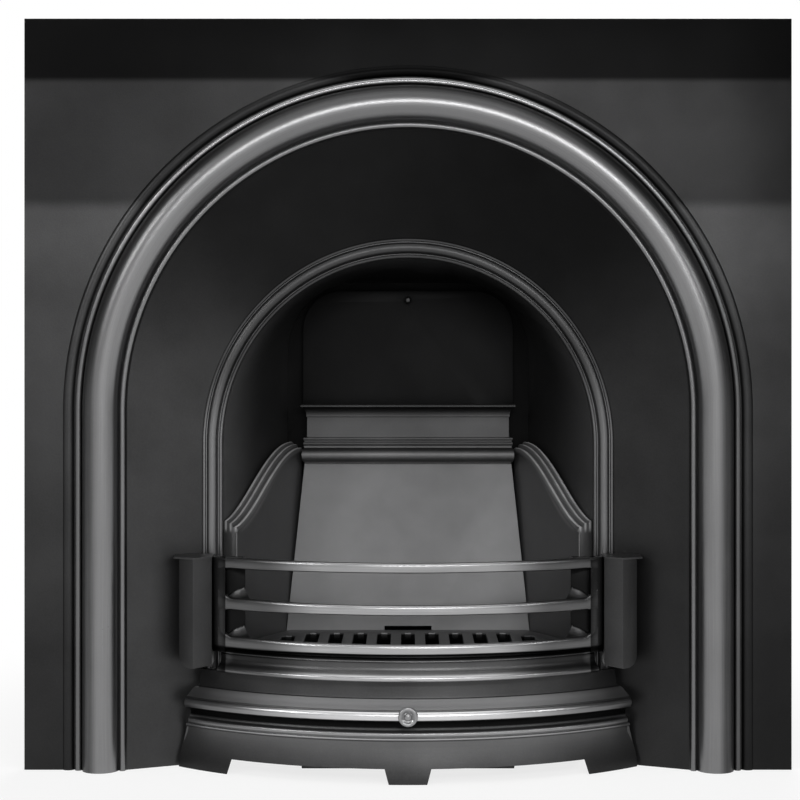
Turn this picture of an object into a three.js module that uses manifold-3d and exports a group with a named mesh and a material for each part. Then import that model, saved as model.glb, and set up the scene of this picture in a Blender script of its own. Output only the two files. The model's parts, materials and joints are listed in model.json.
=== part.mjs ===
// A cast iron arched fireplace insert, in millimetres, +Z up, seen from the room along +Y.
// It is drawn with the flat front of its plate at Y = 0 and then centred on the floor.
import * as THREE from "three";
import { mergeVertices } from "three/addons/utils/BufferGeometryUtils.js";
import Module from "manifold-3d";

const wasm = await Module();
wasm.setup();

// Driving dimensions
const GAP = 0.4; // between pieces that touch
const PLATE = { halfWidth: 482.5, height: 944.5, thickness: 6, rimDepth: 16, rimWall: 5 };
const ARCH = { spring: 452, opening: 428, splayStart: 353, steps: 32 };
const INNER = { spring: 408, moulding: 262, opening: 237.5, back: 56 };
const SPLAY_DEPTH = 42;
const FIRE_FLOOR = 152; // top of the bottom grate
const CHEEK = { front: [220, 55], back: [145, 214], thickness: 19, foot: 142.5, nose: 308, top: 402 };
const HOOD = { wall: 5.5, flange: 24, frontHalf: 241.5, backHalf: 165, backTop: 620, backRadius: 95 };
const BACK_PLATE = { front: 228.5, thickness: 6 };
const BASKET = { bow: 400, front: 88, barTops: [268.5, 217, 169], barHeight: 11.5, barDepth: 12, end: 236 };
const POST = { foot: 130, top: 268.5, inner: 246, arris: 268, outer: 287, lip: 294 };
const FRET = { axis: 353.5, nose: 95.7, footHeight: 18.5, knobHeight: 85.6 };
const KNOB = { stud: 3, hole: 3.6, seat: 79.6 }; // its seat is the fret's inner face
const GRATE = { thickness: 9, bow: 372, slots: 13, pitch: 31.4, slot: 18, slotEnd: 142 };
const FLAP = { halfWidth: 143, height: 161, corner: 52, hingeY: 217.5, hingeZ: 447, lean: 0.02 };
const PAN = { halfWidth: 140, front: 2, back: 166, height: 60, wall: 2.5, edge: 4 };
const FIXING = { radius: 3, hole: 3.5 }; // every bolt, and the hole it goes through

const blackIron = new THREE.MeshStandardMaterial({ color: 0x2c2c2d, roughness: 0.55, metalness: 0.75 });
const polishedIron = new THREE.MeshStandardMaterial({ color: 0x77787a, roughness: 0.3, metalness: 0.9 });
const greyIron = new THREE.MeshStandardMaterial({ color: 0x5c5c5e, roughness: 0.6, metalness: 0.7 });
const steel = new THREE.MeshStandardMaterial({ color: 0x6c6d70, roughness: 0.4, metalness: 0.9 });

const fireplace = new THREE.Group();

// ---- Solids ----------------------------------------------------------------

// A manifold solid from a closed three.js geometry.
function solid(geometry) {
  const bare = geometry.index ? geometry.toNonIndexed() : geometry.clone();
  bare.deleteAttribute("normal");
  bare.deleteAttribute("uv");
  const merged = mergeVertices(bare, 1e-4);
  return new wasm.Manifold(
    new wasm.Mesh({
      numProp: 3,
      vertProperties: merged.attributes.position.array,
      triVerts: new Uint32Array(merged.index.array),
    }),
  );
}

// The three.js geometry of a manifold solid.
function geometryOf(body) {
  const mesh = body.getMesh();
  return new THREE.BufferGeometry()
    .setAttribute("position", new THREE.BufferAttribute(mesh.vertProperties, 3))
    .setIndex(new THREE.BufferAttribute(mesh.triVerts, 1))
    .toNonIndexed();
}

const joined = (...bodies) => bodies.reduce((whole, body) => whole.add(body));
const cut = (whole, ...tools) => tools.reduce((rest, tool) => rest.subtract(tool), whole);

// Adds a named piece to the fireplace. Side -1 mirrors a piece drawn for the right.
function add(name, body, material, side = 1) {
  const geometry = geometryOf(body);
  geometry.computeVertexNormals();
  const mesh = new THREE.Mesh(geometry, material);
  mesh.name = name;
  mesh.scale.x = side;
  fireplace.add(mesh);
  return mesh;
}

// Triangles that fill a flat outline, counted anticlockwise round the outline's own normal.
function fill(outline) {
  const normal = new THREE.Vector3();
  outline.forEach((p, i) => normal.add(p.clone().cross(outline[(i + 1) % outline.length])));
  normal.normalize();
  const helper = Math.abs(normal.z) < 0.9 ? new THREE.Vector3(0, 0, 1) : new THREE.Vector3(1, 0, 0);
  const u = helper.cross(normal).normalize();
  const v = normal.clone().cross(u);
  const flat = outline.map((p) => new THREE.Vector2(p.dot(u), p.dot(v)));
  return THREE.ShapeUtils.triangulateShape(flat, []).map(([a, b, c]) => {
    const turn = THREE.ShapeUtils.area([flat[a], flat[b], flat[c]]);
    return turn > 0 ? [a, b, c] : [a, c, b];
  });
}

// A solid through a row of outlines, each a list of as many points in the same order.
function loft(outlines) {
  const count = outlines[0].length;
  const last = (outlines.length - 1) * count;
  const faces = [];
  for (const [a, b, c] of fill(outlines[0])) faces.push([a, c, b]);
  for (const [a, b, c] of fill(outlines.at(-1))) faces.push([last + a, last + b, last + c]);
  for (let row = 0; row < last; row += count)
    for (let i = 0; i < count; i++) {
      const next = row + ((i + 1) % count);
      faces.push([row + i, next, next + count], [row + i, next + count, row + i + count]);
    }
  const points = outlines.flat();
  const volume = faces.reduce(
    (sum, [a, b, c]) => sum + points[a].dot(points[b].clone().cross(points[c])), 0);
  const index = faces.flatMap(([a, b, c]) => (volume > 0 ? [a, b, c] : [a, c, b]));
  return solid(new THREE.BufferGeometry().setFromPoints(points).setIndex(index));
}

const shapeOf = (points) => new THREE.Shape(points.map(([x, y]) => new THREE.Vector2(x, y)));

// A shape drawn in plan (X, Y), raised from one height to another.
function plan(shape, low, high, curveSegments = 12) {
  const options = { depth: high - low, bevelEnabled: false, curveSegments };
  return solid(new THREE.ExtrudeGeometry(shape, options).translate(0, 0, low));
}

// A shape drawn in elevation (X, Z), carried from one depth Y to another.
function elevation(shape, near, far, curveSegments = 12) {
  const options = { depth: far - near, bevelEnabled: false, curveSegments };
  const geometry = new THREE.ExtrudeGeometry(shape, options).rotateX(Math.PI / 2);
  return solid(geometry.translate(0, far, 0));
}

// A shape drawn in section (Y, Z), carried from one X to another.
function across(shape, left, right, curveSegments = 12) {
  const options = { depth: right - left, bevelEnabled: false, curveSegments };
  const turn = new THREE.Matrix4().makeBasis(
    new THREE.Vector3(0, 1, 0), new THREE.Vector3(0, 0, 1), new THREE.Vector3(1, 0, 0));
  const geometry = new THREE.ExtrudeGeometry(shape, options).applyMatrix4(turn);
  return solid(geometry.translate(left, 0, 0));
}

// A turned solid from [radius, distance] pairs, with its axis from point towards direction.
function turned(profile, point, direction, segments = 20) {
  const outline = profile.map(([radius, along]) => new THREE.Vector2(radius, along));
  const turn = new THREE.Quaternion().setFromUnitVectors(
    new THREE.Vector3(0, 1, 0), new THREE.Vector3(...direction).normalize());
  const geometry = new THREE.LatheGeometry(outline, segments).applyQuaternion(turn);
  return solid(geometry.translate(...point));
}

const rod = (radius, length, point, direction, segments = 16) =>
  turned([[0, 0], [radius, 0], [radius, length], [0, length]], point, direction, segments);

// A hexagon-headed bolt. The head's seat is at point, and the shank runs along direction.
function bolt(point, direction, length) {
  const away = direction.map((d) => -d);
  const head = rod(FIXING.radius * 1.8, FIXING.radius * 1.35, point, away, 6);
  const start = point.map((p, i) => p + away[i] * 0.5);
  return joined(head, rod(FIXING.radius, length + 0.5, start, direction, 6));
}

// Points on an arc of a flat profile from one point to another. It bulges by rise to the left
// of the way it runs.
function arc([x0, y0], [x1, y1], rise, steps) {
  const length = Math.hypot(x1 - x0, y1 - y0);
  const half = 2 * Math.atan((2 * rise) / length);
  const radius = length / (2 * Math.sin(half));
  const [ux, uy] = [(x1 - x0) / length, (y1 - y0) / length];
  return Array.from({ length: steps + 1 }, (_, i) => {
    const angle = half * ((2 * i) / steps - 1);
    const along = length / 2 + radius * Math.sin(angle);
    const out = radius * (Math.cos(angle) - Math.cos(half));
    return [x0 + ux * along - uy * out, y0 + uy * along + ux * out];
  });
}

// ---- Front casting -----------------------------------------------------------
// The flat plate, the rolled arch with its beads, the splayed reveal and the inner moulding
// are one casting. The arches have centres at two heights, so the ring is lofted between them.

// The moulded face from the plate to the fire opening, as [radius, depth].
const archFace = [
  ...arc([434, 1.5], [420, 0.5], 4.5, 4),
  [418.6, 1],
  ...arc([417.8, -0.5], [409.6, -1.5], 5, 4),
  ...arc([409, -2.5], [363.4, -5.5], 20, 11),
  [362.8, -3.5],
  ...arc([362, -3.5], [354.5, -3.5], 4.5, 4),
  [353.8, -1],
];
const splayFace = [[ARCH.splayStart, 0], [INNER.moulding, SPLAY_DEPTH]];
const innerFace = [
  [261.5, 40], [259.4, 40.6], [258.5, 43.5],
  ...arc([257.4, 43.5], [243.8, 44.5], 6.5, 4),
  [243, 46.5],
  ...arc([242, 46.5], [237.5, 48.5], 2.2, 2),
  [INNER.opening, INNER.back], [266, INNER.back],
];
const archBack = [
  [267, 47.5], [353, 6.5], [361, 2.5],
  ...arc([369, -6], [402, -3.5], -9, 3),
  [407, 4], [413, 5.2], [434, 5.2],
];

// Centre height of the arch that a profile radius belongs to: the reveal is ruled between the two.
function springOf(radius) {
  const share = (radius - INNER.moulding) / (ARCH.splayStart - INNER.moulding);
  return THREE.MathUtils.lerp(INNER.spring, ARCH.spring, THREE.MathUtils.clamp(share, 0, 1));
}

// A profile point [radius, depth] carried to a place round the arch: -1 and ARCH.steps + 1 are the floor.
function onArch([radius, depth], step) {
  const legs = step < 0 || step > ARCH.steps;
  const angle = (Math.PI * THREE.MathUtils.clamp(step, 0, ARCH.steps)) / ARCH.steps;
  const height = legs ? 0 : springOf(radius) + radius * Math.sin(angle);
  return new THREE.Vector3(-radius * Math.cos(angle), depth, height);
}

function archRing() {
  const profile = [...archFace, ...splayFace, ...innerFace, ...archBack];
  const steps = Array.from({ length: ARCH.steps + 3 }, (_, i) => i - 1);
  return loft(steps.map((step) => profile.map((point) => onArch(point, step))));
}

// The outline of the plate, drawn in by inset on the three sides that show.
function plateOutline(inset) {
  const [half, top, foot] = [PLATE.halfWidth - inset, PLATE.height - inset, inset > 0 ? -10 : 0];
  return shapeOf([[-half, foot], [half, foot], [half, top], [-half, top]]);
}

// The arched opening as a path round the given radius, down to below the floor.
function archedOpening(radius, spring) {
  const opening = new THREE.Shape();
  opening.moveTo(-radius, -10);
  opening.lineTo(radius, -10);
  opening.lineTo(radius, spring);
  opening.absarc(0, spring, radius, 0, Math.PI, false);
  opening.closePath();
  return opening;
}

function flatPlate() {
  const opening = elevation(
    archedOpening(ARCH.opening, ARCH.spring), -10, PLATE.rimDepth + 10, ARCH.steps);
  const sheet = cut(elevation(plateOutline(0), 0, PLATE.thickness), opening);
  const rim = cut(
    elevation(plateOutline(0), PLATE.thickness - 1, PLATE.rimDepth),
    elevation(plateOutline(PLATE.rimWall), 0, PLATE.rimDepth + 10),
  );
  return joined(sheet, rim);
}

// Where the hood's flange is bolted to the back of the inner moulding: angle round the arch.
const HOOD_BOLTS = [-1, 18, 54, 90, 126, 162, 181];
const HOOD_BOLT_RADIUS = 254;
function hoodBoltPlace(degrees) {
  if (degrees < 0 || degrees > 180) return [degrees < 0 ? HOOD_BOLT_RADIUS : -HOOD_BOLT_RADIUS, 230];
  const angle = THREE.MathUtils.degToRad(degrees);
  return [HOOD_BOLT_RADIUS * Math.cos(angle), INNER.spring + HOOD_BOLT_RADIUS * Math.sin(angle)];
}

// Post bolts come through the splay from behind, one high and one low on each side.
const POST_BOLT = { x: 274, heights: [165, 240], seat: 48 };
const LUG = { x: 450, heights: [90, 860], base: 34, reach: 42, thickness: 4 };

function frontCasting() {
  const hoodHoles = HOOD_BOLTS.map((degrees) => {
    const [x, z] = hoodBoltPlace(degrees);
    return rod(FIXING.hole, 14, [x, INNER.back + 1, z], [0, -1, 0], 8);
  });
  const postHoles = [-1, 1].flatMap((side) =>
    POST_BOLT.heights.map((z) => rod(FIXING.hole, 60, [side * POST_BOLT.x, 60, z], [0, -1, 0], 8)));
  const bosses = [-1, 1].flatMap((side) => [
    ...LUG.heights.map((z) => rod(9, 4, [side * LUG.x, PLATE.thickness - 1, z], [0, 1, 0], 12)),
    ...POST_BOLT.heights.map((z) => rod(9, 6, [side * POST_BOLT.x, POST_BOLT.seat - 6, z], [0, 1, 0], 12)),
  ]);
  const lugHoles = [-1, 1].flatMap((side) =>
    LUG.heights.map((z) => rod(FIXING.hole, 9, [side * LUG.x, PLATE.thickness + 4, z], [0, -1, 0], 8)));
  return cut(joined(flatPlate(), archRing(), ...bosses), ...hoodHoles, ...postHoles, ...lugHoles);
}

add("front_casting", frontCasting(), blackIron);

// ---- Hood and back plate -------------------------------------------------------
// The hood tapers from the inner arch to a lower, narrower and flatter arch at the back.

const HOOD_STEPS = 8; // round each haunch

// A point of a round-shouldered arch, going from the left foot over the crown to the right foot.
function archPoint(half, top, radius, foot, step) {
  const side = step < 0 ? -1 : 1;
  const across = Math.abs(step);
  if (across > HOOD_STEPS) return { x: side * half, z: foot, nx: side, nz: 0 };
  const flat = half - radius;
  const arcSteps = flat > 1 ? HOOD_STEPS - 1 : HOOD_STEPS;
  const angle = (Math.PI / 2) * Math.min(1, (HOOD_STEPS - across) / arcSteps);
  const [nx, nz] = [Math.cos(angle), Math.sin(angle)];
  const crown = across === 0;
  return {
    x: crown ? 0 : side * (flat + radius * nx),
    z: top - radius + radius * nz,
    nx: crown ? 0 : side * nx,
    nz,
  };
}

const HOOD_FRONT = INNER.back + GAP;
const HOOD_BACK = BACK_PLATE.front - GAP;
const hoodFront = (step) =>
  archPoint(HOOD.frontHalf, INNER.spring + HOOD.frontHalf, HOOD.frontHalf, CHEEK.foot, step);
const hoodBack = (step) => archPoint(HOOD.backHalf, HOOD.backTop, HOOD.backRadius, CHEEK.foot, step);

function hood() {
  const section = (step) => {
    const [front, back] = [hoodFront(step), hoodBack(step)];
    const at = (p, out, y) => new THREE.Vector3(p.x + p.nx * out, y, p.z + p.nz * out);
    return [
      at(front, 0, HOOD_FRONT), at(front, HOOD.flange, HOOD_FRONT),
      at(front, HOOD.flange, HOOD_FRONT + 5), at(front, HOOD.wall, HOOD_FRONT + 5),
      at(back, HOOD.wall, HOOD_BACK - 5), at(back, 16, HOOD_BACK - 5),
      at(back, 16, HOOD_BACK), at(back, 0, HOOD_BACK),
    ];
  };
  const steps = Array.from({ length: 2 * HOOD_STEPS + 3 }, (_, i) => i - HOOD_STEPS - 1);
  const holes = HOOD_BOLTS.map((degrees) => {
    const [x, z] = hoodBoltPlace(degrees);
    return rod(FIXING.hole, 10, [x, HOOD_FRONT - 2, z], [0, 1, 0], 8);
  });
  return cut(loft(steps.map(section)), ...holes);
}

// The back plate closes hood and firebox behind. The flue throat is cut in it.
function backOutline(out, foot) {
  const [half, top, radius] = [HOOD.backHalf + out, HOOD.backTop + out, HOOD.backRadius + out];
  const shape = new THREE.Shape();
  shape.moveTo(-half, foot);
  shape.lineTo(half, foot);
  shape.lineTo(half, top - radius);
  shape.absarc(half - radius, top - radius, radius, 0, Math.PI / 2, false);
  shape.lineTo(radius - half, top);
  shape.absarc(radius - half, top - radius, radius, Math.PI / 2, Math.PI, false);
  shape.closePath();
  return shape;
}

function roundedPanel(half, low, high, radius, lowRadius = radius) {
  const shape = new THREE.Shape();
  shape.moveTo(-half, low + lowRadius);
  shape.absarc(lowRadius - half, low + lowRadius, lowRadius, Math.PI, 1.5 * Math.PI, false);
  shape.absarc(half - lowRadius, low + lowRadius, lowRadius, -Math.PI / 2, 0, false);
  shape.absarc(half - radius, high - radius, radius, 0, Math.PI / 2, false);
  shape.absarc(radius - half, high - radius, radius, Math.PI / 2, Math.PI, false);
  shape.closePath();
  return shape;
}

const BACK_BOLTS = [[-172, 200], [172, 200], [-172, 400], [172, 400], [-60, 627], [60, 627]];

function backPlate() {
  const [near, far] = [BACK_PLATE.front, BACK_PLATE.front + BACK_PLATE.thickness];
  const sheet = elevation(backOutline(15.5, CHEEK.foot), near, far, 8);
  const throat = roundedPanel(124, 470, 596, 36, 12);
  const collar = elevation(roundedPanel(131, 463, 603, 43, 19), far - 1, far + 12, 4);
  const ribs = [-70, 0, 70].map((x) =>
    elevation(shapeOf([[x - 3, 160], [x + 3, 160], [x + 3, 458], [x - 3, 458]]), far - 1, far + 8));
  const holes = BACK_BOLTS.map(([x, z]) => rod(FIXING.hole, 12, [x, near - 2, z], [0, 1, 0], 8));
  return cut(joined(sheet, collar, ...ribs), elevation(throat, near - 5, far + 20, 4), ...holes);
}

add("hood", hood(), blackIron);
add("back_plate", backPlate(), blackIron);
HOOD_BOLTS.forEach((degrees, i) => {
  const [x, z] = hoodBoltPlace(degrees);
  add(`hood_bolt_${i + 1}`, bolt([x, HOOD_FRONT + 5 + GAP, z], [0, -1, 0], 14), steel);
});

// ---- Cheeks ----------------------------------------------------------------------
// Each cheek is a thick side plate with a plain front edge. Its ogee-shaped top edge carries three
// reeds that step down towards the fire, mitred round the bend.

const cheekRun = new THREE.Vector2(...CHEEK.back).sub(new THREE.Vector2(...CHEEK.front));
const CHEEK_LENGTH = cheekRun.length();
const CHEEK_ANGLE = cheekRun.angle(); // of the cheek's length, from +X

// Carries a solid drawn with u back along the right cheek, w out through it and z up.
function besideFire(body) {
  const [x, y] = CHEEK.front;
  const along = new THREE.Vector3(Math.cos(CHEEK_ANGLE), Math.sin(CHEEK_ANGLE), 0);
  const out = new THREE.Vector3(Math.sin(CHEEK_ANGLE), -Math.cos(CHEEK_ANGLE), 0);
  const place = new THREE.Matrix4().makeBasis(along, out, new THREE.Vector3(0, 0, 1)).setPosition(x, y, 0);
  const geometry = geometryOf(body).applyMatrix4(place);
  const flipped = geometry.getAttribute("position").array;
  for (let i = 0; i < flipped.length; i += 9)
    for (let k = 0; k < 3; k++) [flipped[i + k], flipped[i + 3 + k]] = [flipped[i + 3 + k], flipped[i + k]];
  return solid(geometry);
}

// The S-shaped top edge, from the front corner to the level back end.
const cheekTop = new THREE.CubicBezierCurve(
  new THREE.Vector2(0, CHEEK.nose), new THREE.Vector2(50, CHEEK.nose + 13),
  new THREE.Vector2(105, CHEEK.top - 2), new THREE.Vector2(170, CHEEK.top));

// The reeded edge, as [w across the edge, h out from it], from the outer side to the fire side.
const reeds = [
  ...arc([CHEEK.thickness, -2], [12.8, -3.5], -2.6, 4),
  ...arc([12.2, -4.5], [6, -7.5], -2.6, 4),
  ...arc([5.4, -8.5], [-2, -13.5], -3, 5),
  [0, -15.5],
];
const CHEEK_BEAD = 1.8; // radius of the bead on the front arris

function cheek() {
  const edge = [...cheekTop.getPoints(11), new THREE.Vector2(CHEEK_LENGTH, CHEEK.top)];
  const sections = edge.map((point, i) => {
    const before = point.clone().sub(edge[Math.max(0, i - 1)]).normalize();
    const after = edge[Math.min(edge.length - 1, i + 1)].clone().sub(point).normalize();
    const atEnd = i === 0 || i === edge.length - 1;
    const slope = before.add(after).normalize();
    const normal = atEnd ? new THREE.Vector2(0, 1) : new THREE.Vector2(-slope.y, slope.x);
    const at = (w, h) => new THREE.Vector3(point.x + normal.x * h, w, point.y + normal.y * h);
    const foot = [0, CHEEK.thickness].map((w) => new THREE.Vector3(point.x, w, CHEEK.foot));
    return [...foot, ...reeds.map(([w, h]) => at(w, h))];
  });
  const bead = rod(CHEEK_BEAD, CHEEK.nose - CHEEK.foot - 16, [1, 1, CHEEK.foot], [0, 0, 1], 8);
  const pocket = elevation(shapeOf([
    [16, CHEEK.foot + 14], [CHEEK_LENGTH - 14, CHEEK.foot + 14], [CHEEK_LENGTH - 14, CHEEK.top - 28],
    [110, CHEEK.top - 52], [52, CHEEK.nose - 10], [16, CHEEK.nose - 22]]), 8, CHEEK.thickness + 10);
  return besideFire(cut(joined(loft(sections), bead), pocket));
}

add("cheek_left", cheek(), blackIron, -1);
add("cheek_right", cheek(), blackIron);

// ---- Fireback and its cap ----------------------------------------------------------
const FIREBACK = { foot: 172, top: 208, low: CHEEK.foot, high: 373, lowHalf: 164.3, highHalf: 141, wall: 9 };
const POKER_NOTCH = { half: 31.6, top: 156.5 }; // in the foot of the fireback

function fireback() {
  const at = (half, y, z) => [
    new THREE.Vector3(-half, y, z), new THREE.Vector3(half, y, z),
    new THREE.Vector3(half - 4.5, y + FIREBACK.wall, z), new THREE.Vector3(4.5 - half, y + FIREBACK.wall, z)];
  const sheet = loft([
    at(FIREBACK.lowHalf, FIREBACK.foot, FIREBACK.low), at(FIREBACK.highHalf, FIREBACK.top, FIREBACK.high)]);
  const ribs = [-90, 0, 90].map((x) =>
    across(shapeOf([[FIREBACK.foot + 6, FIREBACK.low + 8], [FIREBACK.top + 6, FIREBACK.high - 8],
      [221, FIREBACK.high - 8], [200, FIREBACK.low + 8]]), x - 3.5, x + 3.5));
  const notch = elevation(shapeOf([
    [-POKER_NOTCH.half, 100], [POKER_NOTCH.half, 100],
    [POKER_NOTCH.half, POKER_NOTCH.top], [-POKER_NOTCH.half, POKER_NOTCH.top]]), 100, 300);
  return cut(joined(sheet, ...ribs), notch);
}

// The cap is a cornice: a thin shelf, a cove, a plain band, two fillets and a torus.
function firebackCap() {
  const back = 221;
  const rebate = 209.5; // room behind the shelf for the flap's hinge
  const shelf = [
    [back, 408], [back, 436], [rebate, 438], [rebate, 454], [194, 454], [192.5, 452.5], [192.5, 450.5],
    ...arc([194.5, 449.5], [203, 437], 3, 4), [204.5, 436], [204.5, 408]];
  const foot = [
    [back, 409], [204.5, 409], [203, 407.5], [203, 405.5], [206, 404.5], [206, 403],
    [202.5, 401.5], [202.5, 398.5], [205, 397.5], [205, 395],
    ...arc([203, 394], [203, 380.5], -6, 6), [208, 379],
    [208, FIREBACK.high + GAP], [back, FIREBACK.high + GAP]];
  return joined(across(shapeOf(shelf), -145.5, 145.5), across(shapeOf(foot), -142, 142));
}

add("fireback", fireback(), greyIron);
add("fireback_cap", firebackCap(), blackIron);

// ---- Ash pit -------------------------------------------------------------------------
// Two side walls and a back stand on the hearth. Their ledges carry the grate, the cheeks
// and the fireback.
const LEDGE = { low: 134, high: CHEEK.foot - GAP };

function ashPitSide() {
  const section = [
    [4, 0], [30, 0], [30, 6], [10, 6], [10, LEDGE.low], [30, LEDGE.low], [30, LEDGE.high],
    [-14, LEDGE.high], [-14, LEDGE.low], [4, LEDGE.low]];
  const end = (u) => section.map(([w, z]) => new THREE.Vector3(u, w, z));
  return besideFire(loft([end(8), end(CHEEK_LENGTH - 1)]));
}

function ashPitBack() {
  const ledge = plan(shapeOf([[-148, 168], [148, 168], [124, 219], [-124, 219]]), LEDGE.low, LEDGE.high);
  const wall = plan(shapeOf([[-142, 176], [142, 176], [142, 182], [-142, 182]]), 0, LEDGE.low + 1);
  const foot = plan(shapeOf([[-140, 181], [140, 181], [140, 206], [-140, 206]]), 0, 6);
  return joined(ledge, wall, foot);
}

add("ash_pit_left", ashPitSide(), blackIron, -1);
add("ash_pit_right", ashPitSide(), blackIron);
add("ash_pit_back", ashPitBack(), blackIron);

// ---- Bottom grate ----------------------------------------------------------------------
// A slotted plate with a bowed front, laid loose on the ledges.
const bowY = (radius, x) => BASKET.bow - BASKET.front - Math.sqrt(radius * radius - x * x);

function bottomGrate() {
  const points = [[160, 170], [214, 58]];
  for (let x = 205; x >= -205; x -= 20.5) points.push([x, bowY(GRATE.bow, x)]);
  points.push([-214, 58], [-160, 170]);
  const shape = shapeOf(points);
  for (let i = 0; i < GRATE.slots; i++) {
    const x = (i - (GRATE.slots - 1) / 2) * GRATE.pitch;
    const far = Math.min(GRATE.slotEnd, GRATE.slotEnd - (Math.abs(x) - 145) * 2.1);
    const near = bowY(GRATE.bow, x) + 12;
    const [half, round] = [GRATE.slot / 2, 5];
    const slot = new THREE.Path();
    slot.moveTo(x - half, near);
    slot.lineTo(x + half, near);
    slot.lineTo(x + half, far - round);
    slot.lineTo(x + half - round, far);
    slot.lineTo(x - half + round, far);
    slot.lineTo(x - half, far - round);
    slot.closePath();
    shape.holes.push(slot);
  }
  return plan(shape, FIRE_FLOOR - GRATE.thickness, FIRE_FLOOR);
}

add("bottom_grate", bottomGrate(), blackIron);

// ---- Posts and their hangers ---------------------------------------------------------
// The posts stand off the reveal with two facets that meet in an upright arris.
const splayY = (x) =>
  THREE.MathUtils.lerp(SPLAY_DEPTH, -1, (x - INNER.moulding) / (ARCH.splayStart - INNER.moulding));

function post() {
  const back = (x) => splayY(x) - GAP - 0.6;
  const outline = (inner, outer, out) => shapeOf([
    [inner, 34], [inner, -8 - out], [POST.arris, -20 - out],
    [outer, -6 - out], [outer, back(outer)], [264, back(264)], [263, 34]]);
  const body = plan(outline(POST.inner, POST.outer, 0), POST.foot, POST.top);
  const lip = plan(outline(POST.inner - GAP, POST.lip, 1.2), POST.top - 2.5, POST.top);
  const face = new THREE.Shape();
  face.moveTo(POST.inner - 10, POST.foot + 4);
  face.lineTo(POST.arris, POST.foot);
  face.absarc(POST.outer - 14, POST.foot + 14, 14, -Math.PI / 2, 0, false);
  face.lineTo(POST.lip + 5, POST.top);
  face.lineTo(POST.inner - 10, POST.top);
  face.closePath();
  const holes = POST_BOLT.heights.map((z) => rod(FIXING.hole, 26, [POST_BOLT.x, 42, z], [0, -1, 0], 8));
  const trimmed = joined(body, lip).intersect(elevation(face, -60, 60, 6));
  return cut(trimmed, ...holes);
}

add("post_left", post(), blackIron, -1);
add("post_right", post(), blackIron);

// ---- Front basket -----------------------------------------------------------------------
// Three bowed bars, a moulded lower rail and two ends in one casting. Each end is a plate beside
// the post and a web behind the bars. Sloping fillets tie the lower bars to the web.
const BASKET_STEPS = 14;
const BASKET_END = { near: POST.inner - 17.5, far: POST.inner - 1, foot: 150, back: 10 };
const WEB = { inner: 204, front: -4, back: 0, foot: FIRE_FLOOR + 2 * GAP, rise: 17 };

// A section [radius, z] carried to an angle round the basket's bow.
function onBow(section, angle, axis = BASKET.bow - BASKET.front) {
  return section.map(([radius, z]) =>
    new THREE.Vector3(radius * Math.sin(angle), axis - radius * Math.cos(angle), z));
}

function bowed(sectionAt, halfAngle) {
  const rows = Array.from({ length: BASKET_STEPS + 1 }, (_, i) => (2 * i) / BASKET_STEPS - 1);
  rows.splice(1, 0, -0.94);
  rows.splice(-1, 0, 0.94);
  return loft(rows.map((share) => onBow(sectionAt(Math.abs(share)), share * halfAngle)));
}

// A bar swells up into the end plate in its last few millimetres.
function bar(top) {
  const sectionAt = (share) => {
    const high = top + (share > 0.95 && top < BASKET.barTops[0] ? 11 : 0);
    const low = top - BASKET.barHeight - (share > 0.95 ? 3 : 0);
    const [front, back] = [BASKET.bow, BASKET.bow - BASKET.barDepth];
    return [
      [front - 2.5, high], [front - 0.6, high - 1.2], [front, high - 4], [front, low + 3],
      [front - 3, low], [back + 2, low], [back, low + 3], [back, high - 2], [back + 2, high]];
  };
  return bowed(sectionAt, Math.asin(BASKET.end / BASKET.bow));
}

const railSection = [
  [397, 160], [396, 156.5], [393.5, 155], [393.5, 148], [394.5, 141], [397, 136], [400, 133],
  [402, 131.5], [402.5, 128.5], [401, 125.3], [398, 124.6], [388, 124.6], [386, 127], [388, 160]];

// The slope from the back of a bar up to the web. It dies away towards the middle of the basket.
function fillet(top, rise) {
  const barBack = BASKET.bow - BASKET.barDepth;
  const section = (x, rear, high) => [
    [bowY(barBack + 3, x), top - 8], [rear, top - 8], [rear, high], [bowY(barBack + 3, x), top - 1],
  ].map(([y, z]) => new THREE.Vector3(x, y, z));
  return loft([
    section(WEB.inner - 10, bowY(barBack + 1, WEB.inner - 10), top - 1),
    section(WEB.inner + 1, WEB.front + 2, top + rise),
    section(BASKET_END.near + 1, WEB.front + 2, top + rise)]);
}

function basketEnd() {
  const { near, far, foot, back } = BASKET_END;
  const top = BASKET.barTops[0];
  const plate = plan(shapeOf([
    [near, bowY(BASKET.bow, near)], [far, bowY(BASKET.bow, far)], [far, back], [near, back]]), foot, top);
  const web = plan(shapeOf([
    [WEB.inner, WEB.front], [near + 1, WEB.front], [near + 1, WEB.back], [WEB.inner, WEB.back]]), WEB.foot, top);
  const fillets = BASKET.barTops.map((height, i) => fillet(height, i === 0 ? 0 : WEB.rise));
  const tongue = across(shapeOf([
    [5, 216], [26, 216], [26, 186], [20, 186], [20, 206], [5, 206]]), near + 3, far - 3);
  return joined(plate, web, ...fillets, tongue);
}

function basket() {
  const end = basketEnd();
  const rail = bowed(() => railSection, Math.asin(BASKET.end / (BASKET.bow + 2)));
  return joined(...BASKET.barTops.map(bar), rail, end, end.mirror([1, 0, 0]));
}

add("front_basket", basket(), blackIron);

// Each hanger is an open pocket on the inner side of the post that the basket's tongue drops into.
function hanger() {
  const [near, far] = [POST.inner - 16, POST.inner - GAP];
  const outline = shapeOf([[near, 16], [far, 16], [far, 30], [near, 30]]);
  const pocket = shapeOf([[near - 5, 19], [far - 3, 19], [far - 3, 27], [near - 5, 27]]);
  return cut(plan(outline, 178, 202), plan(pocket, 183, 210));
}

add("hanger_left", hanger(), blackIron, -1);
add("hanger_right", hanger(), blackIron);

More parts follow.
